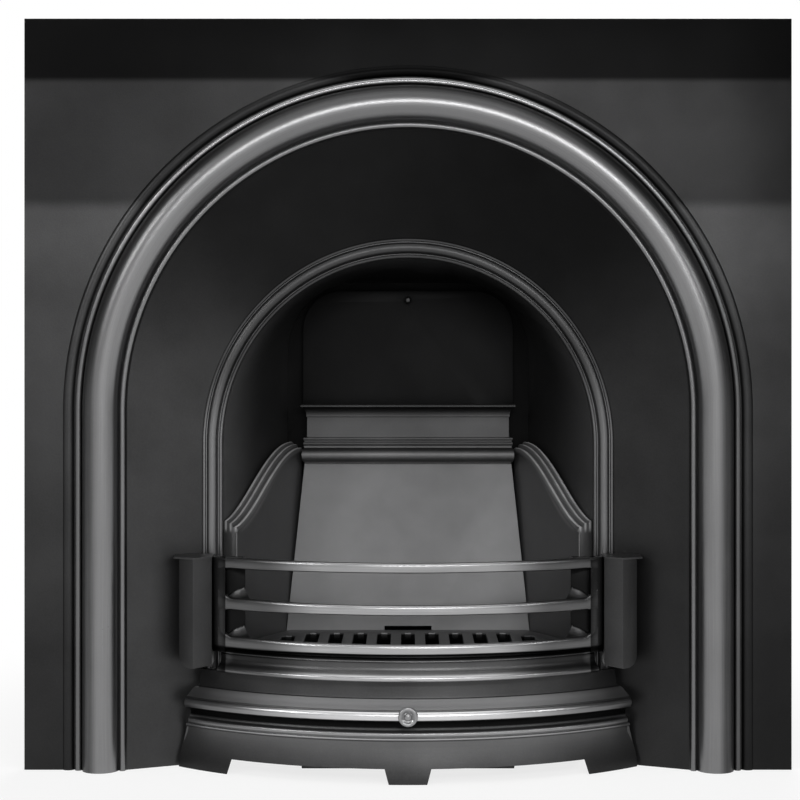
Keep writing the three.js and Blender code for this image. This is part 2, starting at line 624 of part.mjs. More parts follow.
// ---- Fret ------------------------------------------------------------------------------
// The bowed cover of the ash pit. Each point is [front at the middle, height, half width].
const fretFace = [
  [68, 123.5, 262], [68, 103, 265], [70, 100.5, 270], [75, 99.5, 272.5], [83, 95.5, 275.5], [91, 90.5, 279.5],
  [94.5, 87.5, 281.5], [FRET.nose, 84, 281.7], [94.5, 80.5, 281], [92, 79, 280],
  [86, 77.8, 277], [81, 74.5, 275.5], [79.3, 70, 275], [80, 66, 275.5], [82, 64, 276.5],
  [85, 62.5, 277.5], [86, 60.2, 277.8], [85, 57.8, 277.5], [82, 56.6, 277.5],
  [83.5, 55.4, 280.5], [84, 54, 281], [83.4, 52.6, 281], [80.5, 51, 280.5],
  [80.5, 42, 282], [82, 31, 285], [85, 19, 288.5], [88, 6, 290.3], [88, 0, 290.5]];
const fretInside = [
  [80, 0], [80, 6], [77, 20], [74, 32], [73, 44], [73, 72], [80, 77],
  [80, 92.5], [70, 96], [62, 98.5], [61, 123.5]];
const FRET_STEPS = 16;

function fretShell() {
  const innerHalf = (z) => (z > 93 ? 262 : z > 46 ? 273 : 277);
  const section = [...fretFace, ...fretInside.map(([front, z]) => [front, z, innerHalf(z)])];
  const rows = Array.from({ length: FRET_STEPS + 1 }, (_, i) => (2 * i) / FRET_STEPS - 1);
  return loft(rows.map((share) => section.map(([front, z, half]) => {
    const radius = FRET.axis + front;
    const angle = share * Math.asin(half / radius);
    return new THREE.Vector3(radius * Math.sin(angle), FRET.axis - radius * Math.cos(angle), z);
  })));
}

function fret() {
  const gap = shapeOf([[28.5, FRET.footHeight], [219.5, FRET.footHeight], [227, -5], [22, -5]]);
  const between = elevation(gap, -120, 60);
  const knobHole = rod(KNOB.hole, 40, [0, -110, FRET.knobHeight], [0, 1, 0], 12);
  return cut(fretShell(), between, between.mirror([1, 0, 0]), knobHole);
}

// The knob is turned, with a dished face, a raised button and a stud that goes through the fret.
function fretKnob() {
  const profile = [
    [0, -22], [KNOB.stud, -22], [KNOB.stud, 0], [6.5, 0], [6.5, 1.5], [5, 3], [6, 4.5], [10.8, 6],
    [12, 8], [11.6, 10.4], [10, 11.4], [8, 11], [6.4, 9.4], [4.8, 9.2], [4.2, 11], [2.6, 12.4], [0, 12.8]];
  return turned(profile, [0, -FRET.nose - GAP, FRET.knobHeight], [0, -1, 0], 18);
}

function fretKnobNut() {
  const nut = rod(5.6, 4.5, [0, -KNOB.seat, FRET.knobHeight], [0, 1, 0], 6);
  return cut(nut, rod(KNOB.stud + GAP, 16, [0, -KNOB.seat - 8, FRET.knobHeight], [0, 1, 0], 10));
}

add("fret", fret(), blackIron);
add("fret_knob", fretKnob(), polishedIron);
add("fret_knob_nut", fretKnobNut(), steel);

// ---- Ash pan -----------------------------------------------------------------------------
function ashPan() {
  const { halfWidth, front, back, height, wall, edge } = PAN;
  const layer = (inset, z, slope) => [
    new THREE.Vector3(inset - halfWidth + slope, front + inset + slope, z),
    new THREE.Vector3(halfWidth - inset - slope, front + inset + slope, z),
    new THREE.Vector3(halfWidth - inset - slope, back - inset - slope, z),
    new THREE.Vector3(inset - halfWidth + slope, back - inset - slope, z)];
  const tray = (inset, low, high) => loft([layer(inset, low, 6), layer(inset, high, 0)]);
  const rolledEdge = cut(
    loft([layer(-edge, height - edge, 0), layer(-edge, height, 0)]),
    loft([layer(wall - 0.5, height - 10, 0), layer(wall - 0.5, height + 5, 0)]));
  return joined(cut(tray(0, 0, height), tray(wall, wall, height + 8)), rolledEdge);
}

function ashPanHandle() {
  const root = PAN.front - 4.5;
  const route = new THREE.CatmullRomCurve3([
    [-34, root], [-34, root - 13.5], [-26, root - 21.5],
    [26, root - 21.5], [34, root - 13.5], [34, root],
  ].map(([x, y]) => new THREE.Vector3(x, y, 42)), false, "catmullrom", 0.3);
  const round = new THREE.Shape().absarc(0, 0, 3.2, 0, 2 * Math.PI, false);
  return solid(new THREE.ExtrudeGeometry(round, { steps: 14, extrudePath: route, curveSegments: 4 }));
}

add("ash_pan", ashPan(), steel);
add("ash_pan_handle", ashPanHandle(), steel);

// ---- Damper --------------------------------------------------------------------------------
// The flap closes the throat. It turns on two pins near its lower corners and leans back at rest.
const HINGE = { x: 112, pin: 2.5, bore: 2.9, knuckle: 5, length: 24, ear: 5 };
const EAR_X = HINGE.x + HINGE.length / 2 + 1.4; // the side of the ear that faces the knuckle

function damperFlap() {
  const panel = (inset, near, far, corner) => elevation(
    roundedPanel(FLAP.halfWidth - inset, inset && inset + 3, FLAP.height - inset, FLAP.corner - inset, corner),
    near, far, 5);
  const sheet = panel(0, -2.5, 2.5, 3);
  const bead = cut(panel(9, 1.5, 5.5, 6), panel(15, 2, 8, 4));
  const ends = [-1, 1];
  const notches = ends.map((side) => elevation(shapeOf([
    [side * (EAR_X - 1), -10], [side * 160, -10], [side * 160, 6.5], [side * (EAR_X - 1), 6.5]]), -20, 20));
  const along = (radius, length, side) =>
    rod(radius, length, [side * HINGE.x - length / 2, 0, 0], [1, 0, 0], 14);
  const knuckles = ends.map((side) => along(HINGE.knuckle, HINGE.length, side));
  const bores = ends.map((side) => along(HINGE.bore, HINGE.length + 16, side));
  const knobHole = rod(2.6, 20, [0, -10, FLAP.height - 12], [0, 1, 0], 10);
  return cut(joined(cut(sheet, ...notches), bead, ...knuckles), ...bores, knobHole);
}

function damperKnob() {
  const profile = [[0, -9], [2.2, -9], [2.2, 0], [3.4, 0], [2.6, 4], [4.6, 7], [4.4, 10], [2.6, 11.6], [0, 12]];
  return turned(profile, [0, -2.5 - GAP, FLAP.height - 12], [0, -1, 0], 14);
}

// Bracket: a foot on the back plate and an ear on the outer side of the knuckle with a pin.
function damperBracket() {
  const [y, z, wall] = [FLAP.hingeY, FLAP.hingeZ, BACK_PLATE.front - GAP];
  const ear = across(shapeOf([
    [y - 5, z - 3], [y - 3, z - 6], [wall, z - 9], [wall, z + 5],
    [y + 2, z + 5], [y - 3, z + 4.5], [y - 5, z + 2.5]]), EAR_X, EAR_X + HINGE.ear);
  const foot = elevation(shapeOf([
    [EAR_X, z - 9], [EAR_X + 13.6, z - 9], [EAR_X + 13.6, z + 6], [EAR_X, z + 6]]), wall - 4, wall);
  const pin = rod(HINGE.pin, EAR_X + 2 - (HINGE.x - 14), [HINGE.x - 14, y, z], [1, 0, 0], 14);
  return joined(ear, foot, pin);
}

const damper = new THREE.Group();
damper.position.set(0, FLAP.hingeY, FLAP.hingeZ);
damper.rotation.x = -FLAP.lean;
fireplace.add(damper);
damper.add(add("damper_flap", damperFlap(), blackIron), add("damper_knob", damperKnob(), polishedIron));
add("damper_bracket_left", damperBracket(), steel, -1);
add("damper_bracket_right", damperBracket(), steel);

// ---- Fixing lugs and bolts ---------------------------------------------------------------------
// Lugs on the back of the plate's corners, each with a slot for a screw into the wall.
function lug(z) {
  const near = PLATE.thickness + 3 + GAP;
  const base = elevation(shapeOf([
    [LUG.x - LUG.base / 2, z - 15], [LUG.x + LUG.base / 2 - 3, z - 15],
    [LUG.x + LUG.base / 2 - 3, z + 15], [LUG.x - LUG.base / 2, z + 15]]), near, near + LUG.thickness);
  const arm = plan(shapeOf([
    [LUG.x - LUG.base / 2, near], [LUG.x - LUG.base / 2 + LUG.thickness, near],
    [LUG.x - LUG.base / 2 + LUG.thickness, near + LUG.reach], [LUG.x - LUG.base / 2, near + LUG.reach]]),
    z - 15, z + 15);
  const slot = across(shapeOf([
    [near + 16, z - 3.5], [near + 34, z - 3.5], [near + 34, z + 3.5], [near + 16, z + 3.5]]),
    LUG.x - LUG.base, LUG.x);
  return cut(joined(base, arm), slot, rod(FIXING.hole, 20, [LUG.x, 0, z], [0, 1, 0], 10));
}

for (const [name, side] of [["left", -1], ["right", 1]])
  LUG.heights.forEach((z, i) => {
    const place = `${name}_${["low", "high"][i]}`;
    add(`wall_lug_${place}`, lug(z), steel, side);
    const seat = PLATE.thickness + 3 + LUG.thickness + 2 * GAP;
    add(`lug_bolt_${place}`, bolt([LUG.x, seat, z], [0, -1, 0], 9), steel, side);
    const postSeat = [POST_BOLT.x, POST_BOLT.seat + GAP, POST_BOLT.heights[i]];
    add(`post_bolt_${place}`, bolt(postSeat, [0, -1, 0], 26), steel, side);
  });

BACK_BOLTS.forEach(([x, z], i) => {
  const seat = BACK_PLATE.front + BACK_PLATE.thickness + GAP;
  add(`back_bolt_${i + 1}`, bolt([x, seat, z], [0, -1, 0], 5), steel);
});

// The origin is on the floor under the middle of the whole object.
const extent = new THREE.Box3().setFromObject(fireplace);
fireplace.position.y = -(extent.min.y + extent.max.y) / 2;

export default fireplace;
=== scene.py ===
import json
import math

import bmesh
import bpy
from mathutils import Matrix, Vector

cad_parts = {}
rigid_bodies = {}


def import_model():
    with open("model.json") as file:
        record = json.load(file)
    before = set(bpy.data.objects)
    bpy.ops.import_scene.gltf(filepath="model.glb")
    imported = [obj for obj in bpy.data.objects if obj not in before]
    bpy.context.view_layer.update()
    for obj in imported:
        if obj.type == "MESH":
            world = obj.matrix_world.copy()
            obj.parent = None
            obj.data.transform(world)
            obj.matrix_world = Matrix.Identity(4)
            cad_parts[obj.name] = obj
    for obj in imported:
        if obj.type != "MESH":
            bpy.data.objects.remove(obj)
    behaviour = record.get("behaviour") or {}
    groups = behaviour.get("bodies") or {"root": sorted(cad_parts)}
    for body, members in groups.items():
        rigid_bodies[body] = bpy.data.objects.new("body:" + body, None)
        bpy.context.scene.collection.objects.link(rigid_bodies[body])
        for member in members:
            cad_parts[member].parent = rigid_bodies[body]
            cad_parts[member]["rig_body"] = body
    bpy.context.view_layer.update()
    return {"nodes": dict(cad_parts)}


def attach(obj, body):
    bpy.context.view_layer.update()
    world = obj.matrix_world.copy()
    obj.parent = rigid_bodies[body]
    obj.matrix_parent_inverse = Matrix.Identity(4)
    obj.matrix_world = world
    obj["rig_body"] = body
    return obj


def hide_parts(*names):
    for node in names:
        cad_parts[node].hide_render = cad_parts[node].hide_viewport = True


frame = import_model()
scene = bpy.context.scene
scene.view_settings.view_transform = "Standard"

# ---- Camera --------------------------------------------------------------------------
# The photograph is taken square on from 2.5 m in front of the plate, a little above half
# its height, and its frame is shifted down to take in the whole fireplace.
PLATE_FACE = -0.0688  # Y of the plate's flat front, in metres
CAMERA_DISTANCE = 2.5
CAMERA_HEIGHT = 0.5277

camera_data = bpy.data.cameras.new("camera")
camera_data.sensor_width = 36
camera_data.lens = 89.5
camera_data.shift_x = -0.01
camera_data.shift_y = -0.0625
camera = bpy.data.objects.new("camera", camera_data)
camera.location = (0, PLATE_FACE - CAMERA_DISTANCE, CAMERA_HEIGHT)
camera.rotation_euler = (math.radians(90), 0, 0)
scene.collection.objects.link(camera)
scene.camera = camera


# ---- Floor ---------------------------------------------------------------------------------
# A plain pale floor. Near the fireplace its paint keeps a faint shadow. Further off it fades
# into the white of the room, for the camera and for what the polished iron reflects.
class Finish:
    """One value among a material's nodes. Sums written in Python become Math nodes."""

    def __init__(self, tree, socket=None):
        self.tree = tree
        self.socket = socket

    def node(self, kind, settings, values, output=0):
        made = self.tree.nodes.new(kind)
        for name, value in settings.items():
            setattr(made, name, value)
        for name, value in values.items():
            if isinstance(value, Finish):
                self.tree.links.new(value.socket, made.inputs[name])
            else:
                made.inputs[name].default_value = value
        return Finish(self.tree, made.outputs[output])

    def math(self, operation, *values):
        return self.node("ShaderNodeMath", {"operation": operation}, dict(enumerate(values)))

    def __add__(self, other):
        return self.math("ADD", self, other)

    def __sub__(self, other):
        return self.math("SUBTRACT", self, other)

    def __rsub__(self, other):
        return self.math("SUBTRACT", other, self)

    def __mul__(self, other):
        return self.math("MULTIPLY", self, other)

    def __truediv__(self, other):
        return self.math("DIVIDE", self, other)

    __radd__ = __add__
    __rmul__ = __mul__

    def __abs__(self):
        return self.math("ABSOLUTE", self)

    def root(self):
        return self.math("SQRT", self)

    def above(self, least):
        return self.math("MAXIMUM", self, least)

    def parts(self):
        """X, Y and Z of a place."""
        return [self.node("ShaderNodeSeparateXYZ", {}, {0: self}, axis) for axis in range(3)]

    def along(self, x, y, z):
        """Another place, put together from its parts."""
        return self.node("ShaderNodeCombineXYZ", {}, {0: x, 1: y, 2: z})

    def noise(self, scale, detail, roughness):
        values = {"Vector": self, "Scale": scale, "Detail": detail, "Roughness": roughness}
        return self.node("ShaderNodeTexNoise", {"noise_dimensions": "3D"}, values)

    def step(self, low, high):
        """0 below low, 1 above high and smooth between."""
        values = {"Value": self, "From Min": low, "From Max": high}
        return self.node("ShaderNodeMapRange", {"interpolation_type": "SMOOTHSTEP"}, values)

    def band(self, low, high, soft):
        """1 between low and high, and 0 outside, with soft edges."""
        return self.step(low - soft, low + soft) * (1 - self.step(high - soft, high + soft))

    def looked_at(self):
        """The camera's own rays and what they pass through, and then the rays of reflections."""
        rays = [self.node("ShaderNodeLightPath", {}, {}, f"Is {kind} Ray")
                for kind in ("Camera", "Transmission", "Glossy")]
        return rays[0].above(rays[1]), rays[2]


FLOOR_REACH = 9
PAPER_WHITE = 0.78  # of the floor near its middle
WHITE_FROM, WHITE_BEYOND = 0.5, 1.2  # how far off it fades into the room

floor_paint = bpy.data.materials.new("floor paint")
floor_paint.use_nodes = True
paint_tree = floor_paint.node_tree
floor_shader = paint_tree.nodes["Principled BSDF"]
floor_shader.inputs["Base Color"].default_value = (0.97, 0.97, 0.97, 1)
floor_shader.inputs["Roughness"].default_value = 0.9
on_floor = Finish(paint_tree).node("ShaderNodeTexCoord", {}, {}, "Object")
east, north, _ = on_floor.parts()
outwards = (east * east + north * north).root()
whiteness = PAPER_WHITE + (1 - PAPER_WHITE) * outwards.step(WHITE_FROM, WHITE_BEYOND)
seen, reflected = on_floor.looked_at()
floor_white = on_floor.node("ShaderNodeEmission", {}, {"Strength": 1.0})
floor_mix = on_floor.node("ShaderNodeMixShader", {}, {
    0: whiteness * seen.above(reflected),
    1: Finish(paint_tree, floor_shader.outputs[0]), 2: floor_white})
paint_tree.links.new(floor_mix.socket, paint_tree.nodes["Material Output"].inputs[0])

bm = bmesh.new()
bmesh.ops.create_grid(bm, x_segments=1, y_segments=1, size=FLOOR_REACH)
floor_mesh = bpy.data.meshes.new("floor")
bm.to_mesh(floor_mesh)
bm.free()
floor = bpy.data.objects.new("floor", floor_mesh)
scene.collection.objects.link(floor)
floor_mesh.materials.append(floor_paint)

# ---- Studio light ------------------------------------------------------------------------
# A room that is pale in front of the fireplace and dim at its sides, with white behind it.
# Soft lamps stand in front, a little to the left and to the right, overhead and behind.
world = bpy.data.worlds.new("studio")
world.use_nodes = True
scene.world = world
room = world.node_tree
way = Finish(room).node("ShaderNodeTexCoord", {}, {}, "Generated")
_, way_y, _ = way.parts()
DIM_SIDES, PALE_FRONT = 0.1, 0.54  # strengths of the room's light
level = DIM_SIDES + (PALE_FRONT - DIM_SIDES) * (0 - way_y).step(0.4, 0.85)
dim_room = way.node("ShaderNodeBackground", {}, {"Color": (1, 1, 1, 1), "Strength": level})
white_room = way.node("ShaderNodeBackground", {}, {"Color": (1, 1, 1, 1), "Strength": 1.0})
seen, reflected = way.looked_at()
studio = way.node("ShaderNodeMixShader", {}, {
    0: seen.above(reflected * way_y.step(0.05, 0.25)), 1: dim_room, 2: white_room})
room.links.new(studio.socket, room.nodes["World Output"].inputs[0])

MIDDLE = Vector((0, 0, 0.45))  # of the fireplace, which every lamp is turned to


def soft_lamp(name, place, width, height, level):
    """A rectangular lamp. Level 1 lights a surface that faces it as brightly as white."""
    lamp = bpy.data.lights.new(name, "AREA")
    lamp.shape = "RECTANGLE"
    lamp.size, lamp.size_y = width, height
    reach = MIDDLE - Vector(place)
    lamp.energy = level * math.pi**2 * reach.length_squared
    holder = bpy.data.objects.new(name, lamp)
    holder.location = place
    holder.rotation_euler = reach.to_track_quat("-Z", "Y").to_euler()
    scene.collection.objects.link(holder)


soft_lamp("front lamp", (0.35, -2.9, 1.3), 2.1, 0.26, 0.32)
soft_lamp("left lamp", (-2.6, -2.4, 2.0), 0.6, 0.9, 0.2)
soft_lamp("side lamp", (3.0, -2.3, 1.8), 0.5, 0.9, 0.12)
soft_lamp("overhead lamp", (0, -0.8, 3.3), 3.4, 1.8, 0.4)
soft_lamp("back lamp", (0.6, 3.2, 2.2), 2.0, 1.4, 0.45)


# ---- Front casting -------------------------------------------------------------------------
# The flat plate, the rolled arch with its beads, the splayed reveal and the inner moulding,
# cast in one piece of grey iron. It is black-leaded, and the roll is rubbed bright. Painted
# highlights, reflections and shade are laid into the tone of the lead.
# The pale, dull tone that painted light draws the iron towards.
PAINTED_LIGHT_TONE = 0.34


def iron(name, dark, light, rough, polished, grain, metal=0.97, rubbed=None, shade=None, painted_light=None):
    """Black-leaded cast iron. Its tone goes from dark to light, and its roughness from rough
    to polished, by the clouding of the lead and by rubbed, a mask made from the place on it
    that holds real rubbing and painted highlights. Shade, another such mask, scales the tone
    to paint shade and light into the colour. A third mask paints a pale, dull tone where
    light falls, for painted highlights and lit faces."""
    material = bpy.data.materials.new(name)
    material.use_nodes = True
    tree = material.node_tree
    shader = tree.nodes["Principled BSDF"]
    place = Finish(tree).node("ShaderNodeTexCoord", {}, {}, "Object")
    cloud = place.noise(9, 4, 0.55)  # of the lead, about 110 mm across
    speck = place.noise(420, 2, 0.6)  # of the casting skin, about 2 mm
    sand = place.noise(1400, 2, 0.5)  # of the mould, under 1 mm
    amount = 0.5 * cloud + 0.16 * speck - 0.08
    if rubbed:
        amount = amount * 0.3 + rubbed(place)
    tone = dark + (light - dark) * amount
    # Painted shade and light, scaled into the tone.
    if shade:
        tone = tone * shade(place)
    gloss = rough - (rough - polished) * amount + 0.06 * speck - 0.03
    shader.inputs["Metallic"].default_value = metal
    if painted_light:
        # Painted light: a pale, dull, less metallic tone on lit faces and highlights.
        painted_pale = painted_light(place)
        tone = tone + painted_pale * (PAINTED_LIGHT_TONE - tone)
        gloss = gloss + 0.2 * painted_pale
        tree.links.new((metal - 0.8 * painted_pale).socket, shader.inputs["Metallic"])
    colour = place.node("ShaderNodeCombineColor", {}, {0: tone, 1: tone, 2: 1.012 * tone})
    tree.links.new(colour.socket, shader.inputs["Base Color"])
    tree.links.new(gloss.socket, shader.inputs["Roughness"])
    relief = (sand + 0.8 * speck) * (1 - amount.step(0.2, 0.9) * 0.85)
    bump = place.node(
        "ShaderNodeBump", {}, {"Strength": grain, "Distance": 0.0006, "Height": relief})
    tree.links.new(bump.socket, shader.inputs["Normal"])
    return material


MM = 0.001
TO_ROW = Matrix.Translation((0, PLATE_FACE, 0)) @ Matrix.Scale(MM, 4)  # from mm off the plate's face


def piece(name, bm, body, material, slot, *nodes, crisp):
    """Finishes a mesh drawn in millimetres and makes it a piece that stands for CAD nodes. Its
    edges show where two faces meet at more than crisp degrees."""
    bmesh.ops.remove_doubles(bm, verts=bm.verts, dist=0.002)
    bmesh.ops.recalc_face_normals(bm, faces=bm.faces)
    bmesh.ops.transform(bm, matrix=TO_ROW, verts=bm.verts)
    for face in bm.faces:
        face.smooth = True
    for edge in bm.edges:
        edge.smooth = edge.is_manifold and edge.calc_face_angle(0) < math.radians(crisp)
    mesh = bpy.data.meshes.new(name)
    bm.to_mesh(mesh)
    bm.free()
    made = bpy.data.objects.new(name, mesh)
    scene.collection.objects.link(made)
    mesh.materials.append(material)
    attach(made, body)
    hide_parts(*nodes)


def row(bm, points, closed=False):
    """Vertices joined one to the next. Gives the vertices and the edges."""
    verts = [bm.verts.new(point) for point in points]
    pairs = list(zip(verts, verts[1:]))
    if closed:
        pairs.append((verts[-1], verts[0]))
    return verts, [bm.edges.new(pair) for pair in pairs]


def arc(start, end, rise, steps):
    """Points of a flat arc that bulges by rise to the left of the way it runs."""
    (x0, y0), (x1, y1) = start, end
    length = math.hypot(x1 - x0, y1 - y0)
    half = 2 * math.atan(2 * rise / length)
    radius = length / (2 * math.sin(half))
    ux, uy = (x1 - x0) / length, (y1 - y0) / length
    points = []
    for i in range(steps + 1):
        angle = half * (2 * i / steps - 1)
        along = length / 2 + radius * math.sin(angle)
        out = radius * (math.cos(angle) - math.cos(half))
        points.append((x0 + ux * along - uy * out, y0 + uy * along + ux * out))
    return points


OUTER_SPRING, INNER_SPRING = 452, 408  # heights of the two arch centres
PLATE_HALF, PLATE_TOP, PLATE_RIM = 482.5, 944.5, 16
PLATE_THICKNESS, RIM_WALL = 6, 5
ARCH_RADIUS, SPLAY_RADIUS, MOULDING_RADIUS, OPENING_RADIUS = 434.6, 353, 262, 237.5
SPLAY_DEPTH, CASTING_BACK = 42, 56
SPLAY_BACK, MOULDING_BACK = (SPLAY_RADIUS, 6.5), (267, 47.5)  # [radius, depth] of the reveal's hidden side
rolled_arch = [  # [radius, depth] from the plate's face to the reveal
    (ARCH_RADIUS, 0), *arc((433.6, 0), (420, 0.4), 3.8, 14), (419, 0.9), (418.4, 0.9),
    *arc((417.8, -0.4), (409.8, -1.4), 5, 14), (409.4, -2),
    *arc((409, -2.6), (363.4, -5.6), 20, 44), (362.9, -4.2), (362.4, -3.8),
    *arc((362, -4), (354.6, -3.6), 4.5, 12), (354, -1.2), (SPLAY_RADIUS, 0)]
inner_moulding = [
    (MOULDING_RADIUS, SPLAY_DEPTH), (261.5, 40), (259.4, 40.6), (258.5, 43.5),
    *arc((257.4, 43.5), (243.8, 44.5), 6.5, 14), (243, 46.5),
    *arc((242, 46.5), (OPENING_RADIUS, 48.5), 2.2, 6), (OPENING_RADIUS, CASTING_BACK),
    (266, CASTING_BACK), MOULDING_BACK]
back_of_arch = [
    SPLAY_BACK, (361, 2.5), *arc((369, -6), (402, -3.5), -9, 10), (407, 4), (413, 5.9),
    (ARCH_RADIUS, PLATE_THICKNESS)]


def moved_verts(result):
    """The new vertices that an operator reports."""
    return [g for g in result["geom"] if isinstance(g, bmesh.types.BMVert)]


def turn_over_arch(bm, profile, spring):
    """Turns a profile over the arch and carries both its ends down to the floor."""
    verts, edges = row(bm, [(radius, depth, spring) for radius, depth in profile])
    turned = bmesh.ops.spin(
        bm, geom=verts + edges, cent=(0, 0, spring), axis=(0, 1, 0), angle=-math.pi, steps=96)
    far_edges = [g for g in turned["geom_last"] if isinstance(g, bmesh.types.BMEdge)]
    legs = bmesh.ops.extrude_edge_only(bm, edges=edges + far_edges)
    bmesh.ops.translate(bm, verts=moved_verts(legs), vec=(0, 0, -spring))


def edges_at(bm, radius, depth, spring):
    """The edges that run round the arch at a radius and a depth."""

    def on_line(vert):
        reach = math.hypot(vert.co.x, max(0, vert.co.z - spring))
        return abs(reach - radius) < 0.02 and abs(vert.co.y - depth) < 0.02

    return [edge for edge in bm.edges if all(map(on_line, edge.verts)) and edge.is_boundary]


def rod(bm, radius, length, segments, place):
    """A round bar, which stands upright on the middle of its length before place turns it."""
    bmesh.ops.create_cone(
        bm, cap_ends=True, segments=segments, radius1=radius, radius2=radius, depth=length, matrix=place)


def frame_round(bm, half, top, depth):
    """Three edges round the plate, from the left foot over the top to the right foot."""
    return row(bm, [(-half, depth, 0), (-half, depth, top), (half, depth, top), (half, depth, 0)])


bm = bmesh.new()
turn_over_arch(bm, rolled_arch, OUTER_SPRING)
turn_over_arch(bm, back_of_arch, OUTER_SPRING)
turn_over_arch(bm, inner_moulding, INNER_SPRING)
bmesh.ops.remove_doubles(bm, verts=bm.verts, dist=0.001)
for outer_edge, inner_edge in (
        ((SPLAY_RADIUS, 0), (MOULDING_RADIUS, SPLAY_DEPTH)), (SPLAY_BACK, MOULDING_BACK)):
    bmesh.ops.bridge_loops(
        bm, edges=edges_at(bm, *outer_edge, OUTER_SPRING) + edges_at(bm, *inner_edge, INNER_SPRING))

front_verts, front_edges = frame_round(bm, PLATE_HALF, PLATE_TOP, 0)
inside_verts, inside_edges = frame_round(
    bm, PLATE_HALF - RIM_WALL, PLATE_TOP - RIM_WALL, PLATE_THICKNESS)
plate_faces = (front_verts, front_edges, 0), (inside_verts, inside_edges, PLATE_THICKNESS)
for corners, edges, depth in plate_faces:
    arch_edges = edges_at(bm, ARCH_RADIUS, depth, OUTER_SPRING)
    feet = [vert for edge in arch_edges for vert in edge.verts if abs(vert.co.z) < 0.01]
    left, right = sorted(feet, key=lambda vert: vert.co.x)
    joins = [bm.edges.new((corners[0], left)), bm.edges.new((corners[-1], right))]
    bmesh.ops.contextual_create(bm, geom=arch_edges + edges + joins)
rims = []
for edges, depth in ((front_edges, PLATE_RIM), (inside_edges, PLATE_RIM - PLATE_THICKNESS)):
    walls = bmesh.ops.extrude_edge_only(bm, edges=edges)
    bmesh.ops.translate(bm, verts=moved_verts(walls), vec=(0, depth, 0))
    rims += [g for g in walls["geom"] if isinstance(g, bmesh.types.BMEdge) and
             all(abs(vert.co.y - PLATE_RIM) < 0.01 for vert in g.verts)]
bmesh.ops.bridge_loops(bm, edges=rims)
bmesh.ops.holes_fill(bm, edges=[edge for edge in bm.edges if edge.is_boundary], sides=0)


def on_plate_corner(vert):
    at_side = abs(vert.co.x) > PLATE_HALF - 0.5 or vert.co.z > PLATE_TOP - 0.5
    return at_side and abs(vert.co.y) < 0.01


outer_corners = [
    edge for edge in bm.edges
    if edge.is_manifold and edge.calc_face_angle(0) > 1 and all(map(on_plate_corner, edge.verts))]
bmesh.ops.bevel(
    bm, geom=outer_corners, offset=1.4, segments=3, profile=0.5, affect="EDGES", material=-1)
BOSS_RADIUS = 9
TO_FRONT = Matrix.Rotation(math.pi / 2, 4, "X")  # turns what stands upright to point at the room
lug_bosses = [(450, 7.2, z, 3.6) for z in (90, 860)]  # [across, depth, height, length]
post_bosses = [(274, 45, z, 6) for z in (165, 240)]
for x, y, z, length in lug_bosses + post_bosses:
    for side in (-1, 1):
        rod(bm, BOSS_RADIUS, length, 28, Matrix.Translation((side * x, y, z)) @ TO_FRONT)


def reach_from(place, spring):
    """The distance from the arch's middle line: from its centre above the spring, in metres."""
    x, _, z = place.parts()
    rise = (z - spring * MM).above(0)
    return (x * x + rise * rise).root()


ROLL_IN, ROLL_OUT = 0.354, 0.4182  # where the rubbed part of the arch begins and ends, in metres


def rubbed_roll_and_painted_sheen(place):
    """Rubbed bright over the roll and the two beads, in fine strokes that follow the arch. Painted
    highlights run along the roll's crest and on the outer bead towards the crown, and painted
    shade darkens the roll to the right and on its inner side near the crown. The inner moulding
    has painted light below its curve, less to the right. The back of the casting, 5 to 10 mm
    behind, isn't rubbed."""
    x, y, z = place.parts()
    reach = reach_from(place, OUTER_SPRING)
    hollow = PLATE_FACE + 0.0015 - 0.0165 * reach.band(0.3655, 0.405, 0.004)
    faces_room = 1 - (y - hollow).step(-0.0008, 0.0008)
    strokes = place.along(reach * 900, y * 700, z * 9).noise(1, 3, 0.6)
    roll = reach.band(ROLL_IN, ROLL_OUT, 0.0006)
    over = z.step(0.6, 0.8)
    # Painted highlight along the roll's crest; painted shade on its inner side near the crown.
    crest = reach.band(0.364, 0.392, 0.006) * 0.42 - over * reach.band(0.364, 0.381, 0.003) * 0.14
    quirk = reach.band(0.3545, 0.3615, 0.001) * 0.3
    # Painted highlight on the outer bead, brighter towards the crown and weaker to the right.
    bead = reach.band(0.4105, 0.417, 0.001) * (0.16 + 0.4 * over) * (1 - 0.4 * x.step(0.1, 0.4))
    # Painted light on the inner moulding's legs, fading under its crown and to the right.
    inner = reach_from(place, INNER_SPRING).band(0.238, 0.2615, 0.0015)
    inner = inner * (1 - 0.3 * x.step(0.05, 0.24)) * (0.4 - 0.385 * z.step(0.41, 0.52))
    # Rubbing strokes and painted highlights together.
    wear_and_sheen = crest + quirk + bead + 0.24 * (strokes - 0.5)
    # Painted shade darkens the roll to the right.
    return roll * faces_room * (0.14 - 0.08 * x.step(0.1, 0.35) + wear_and_sheen) + inner


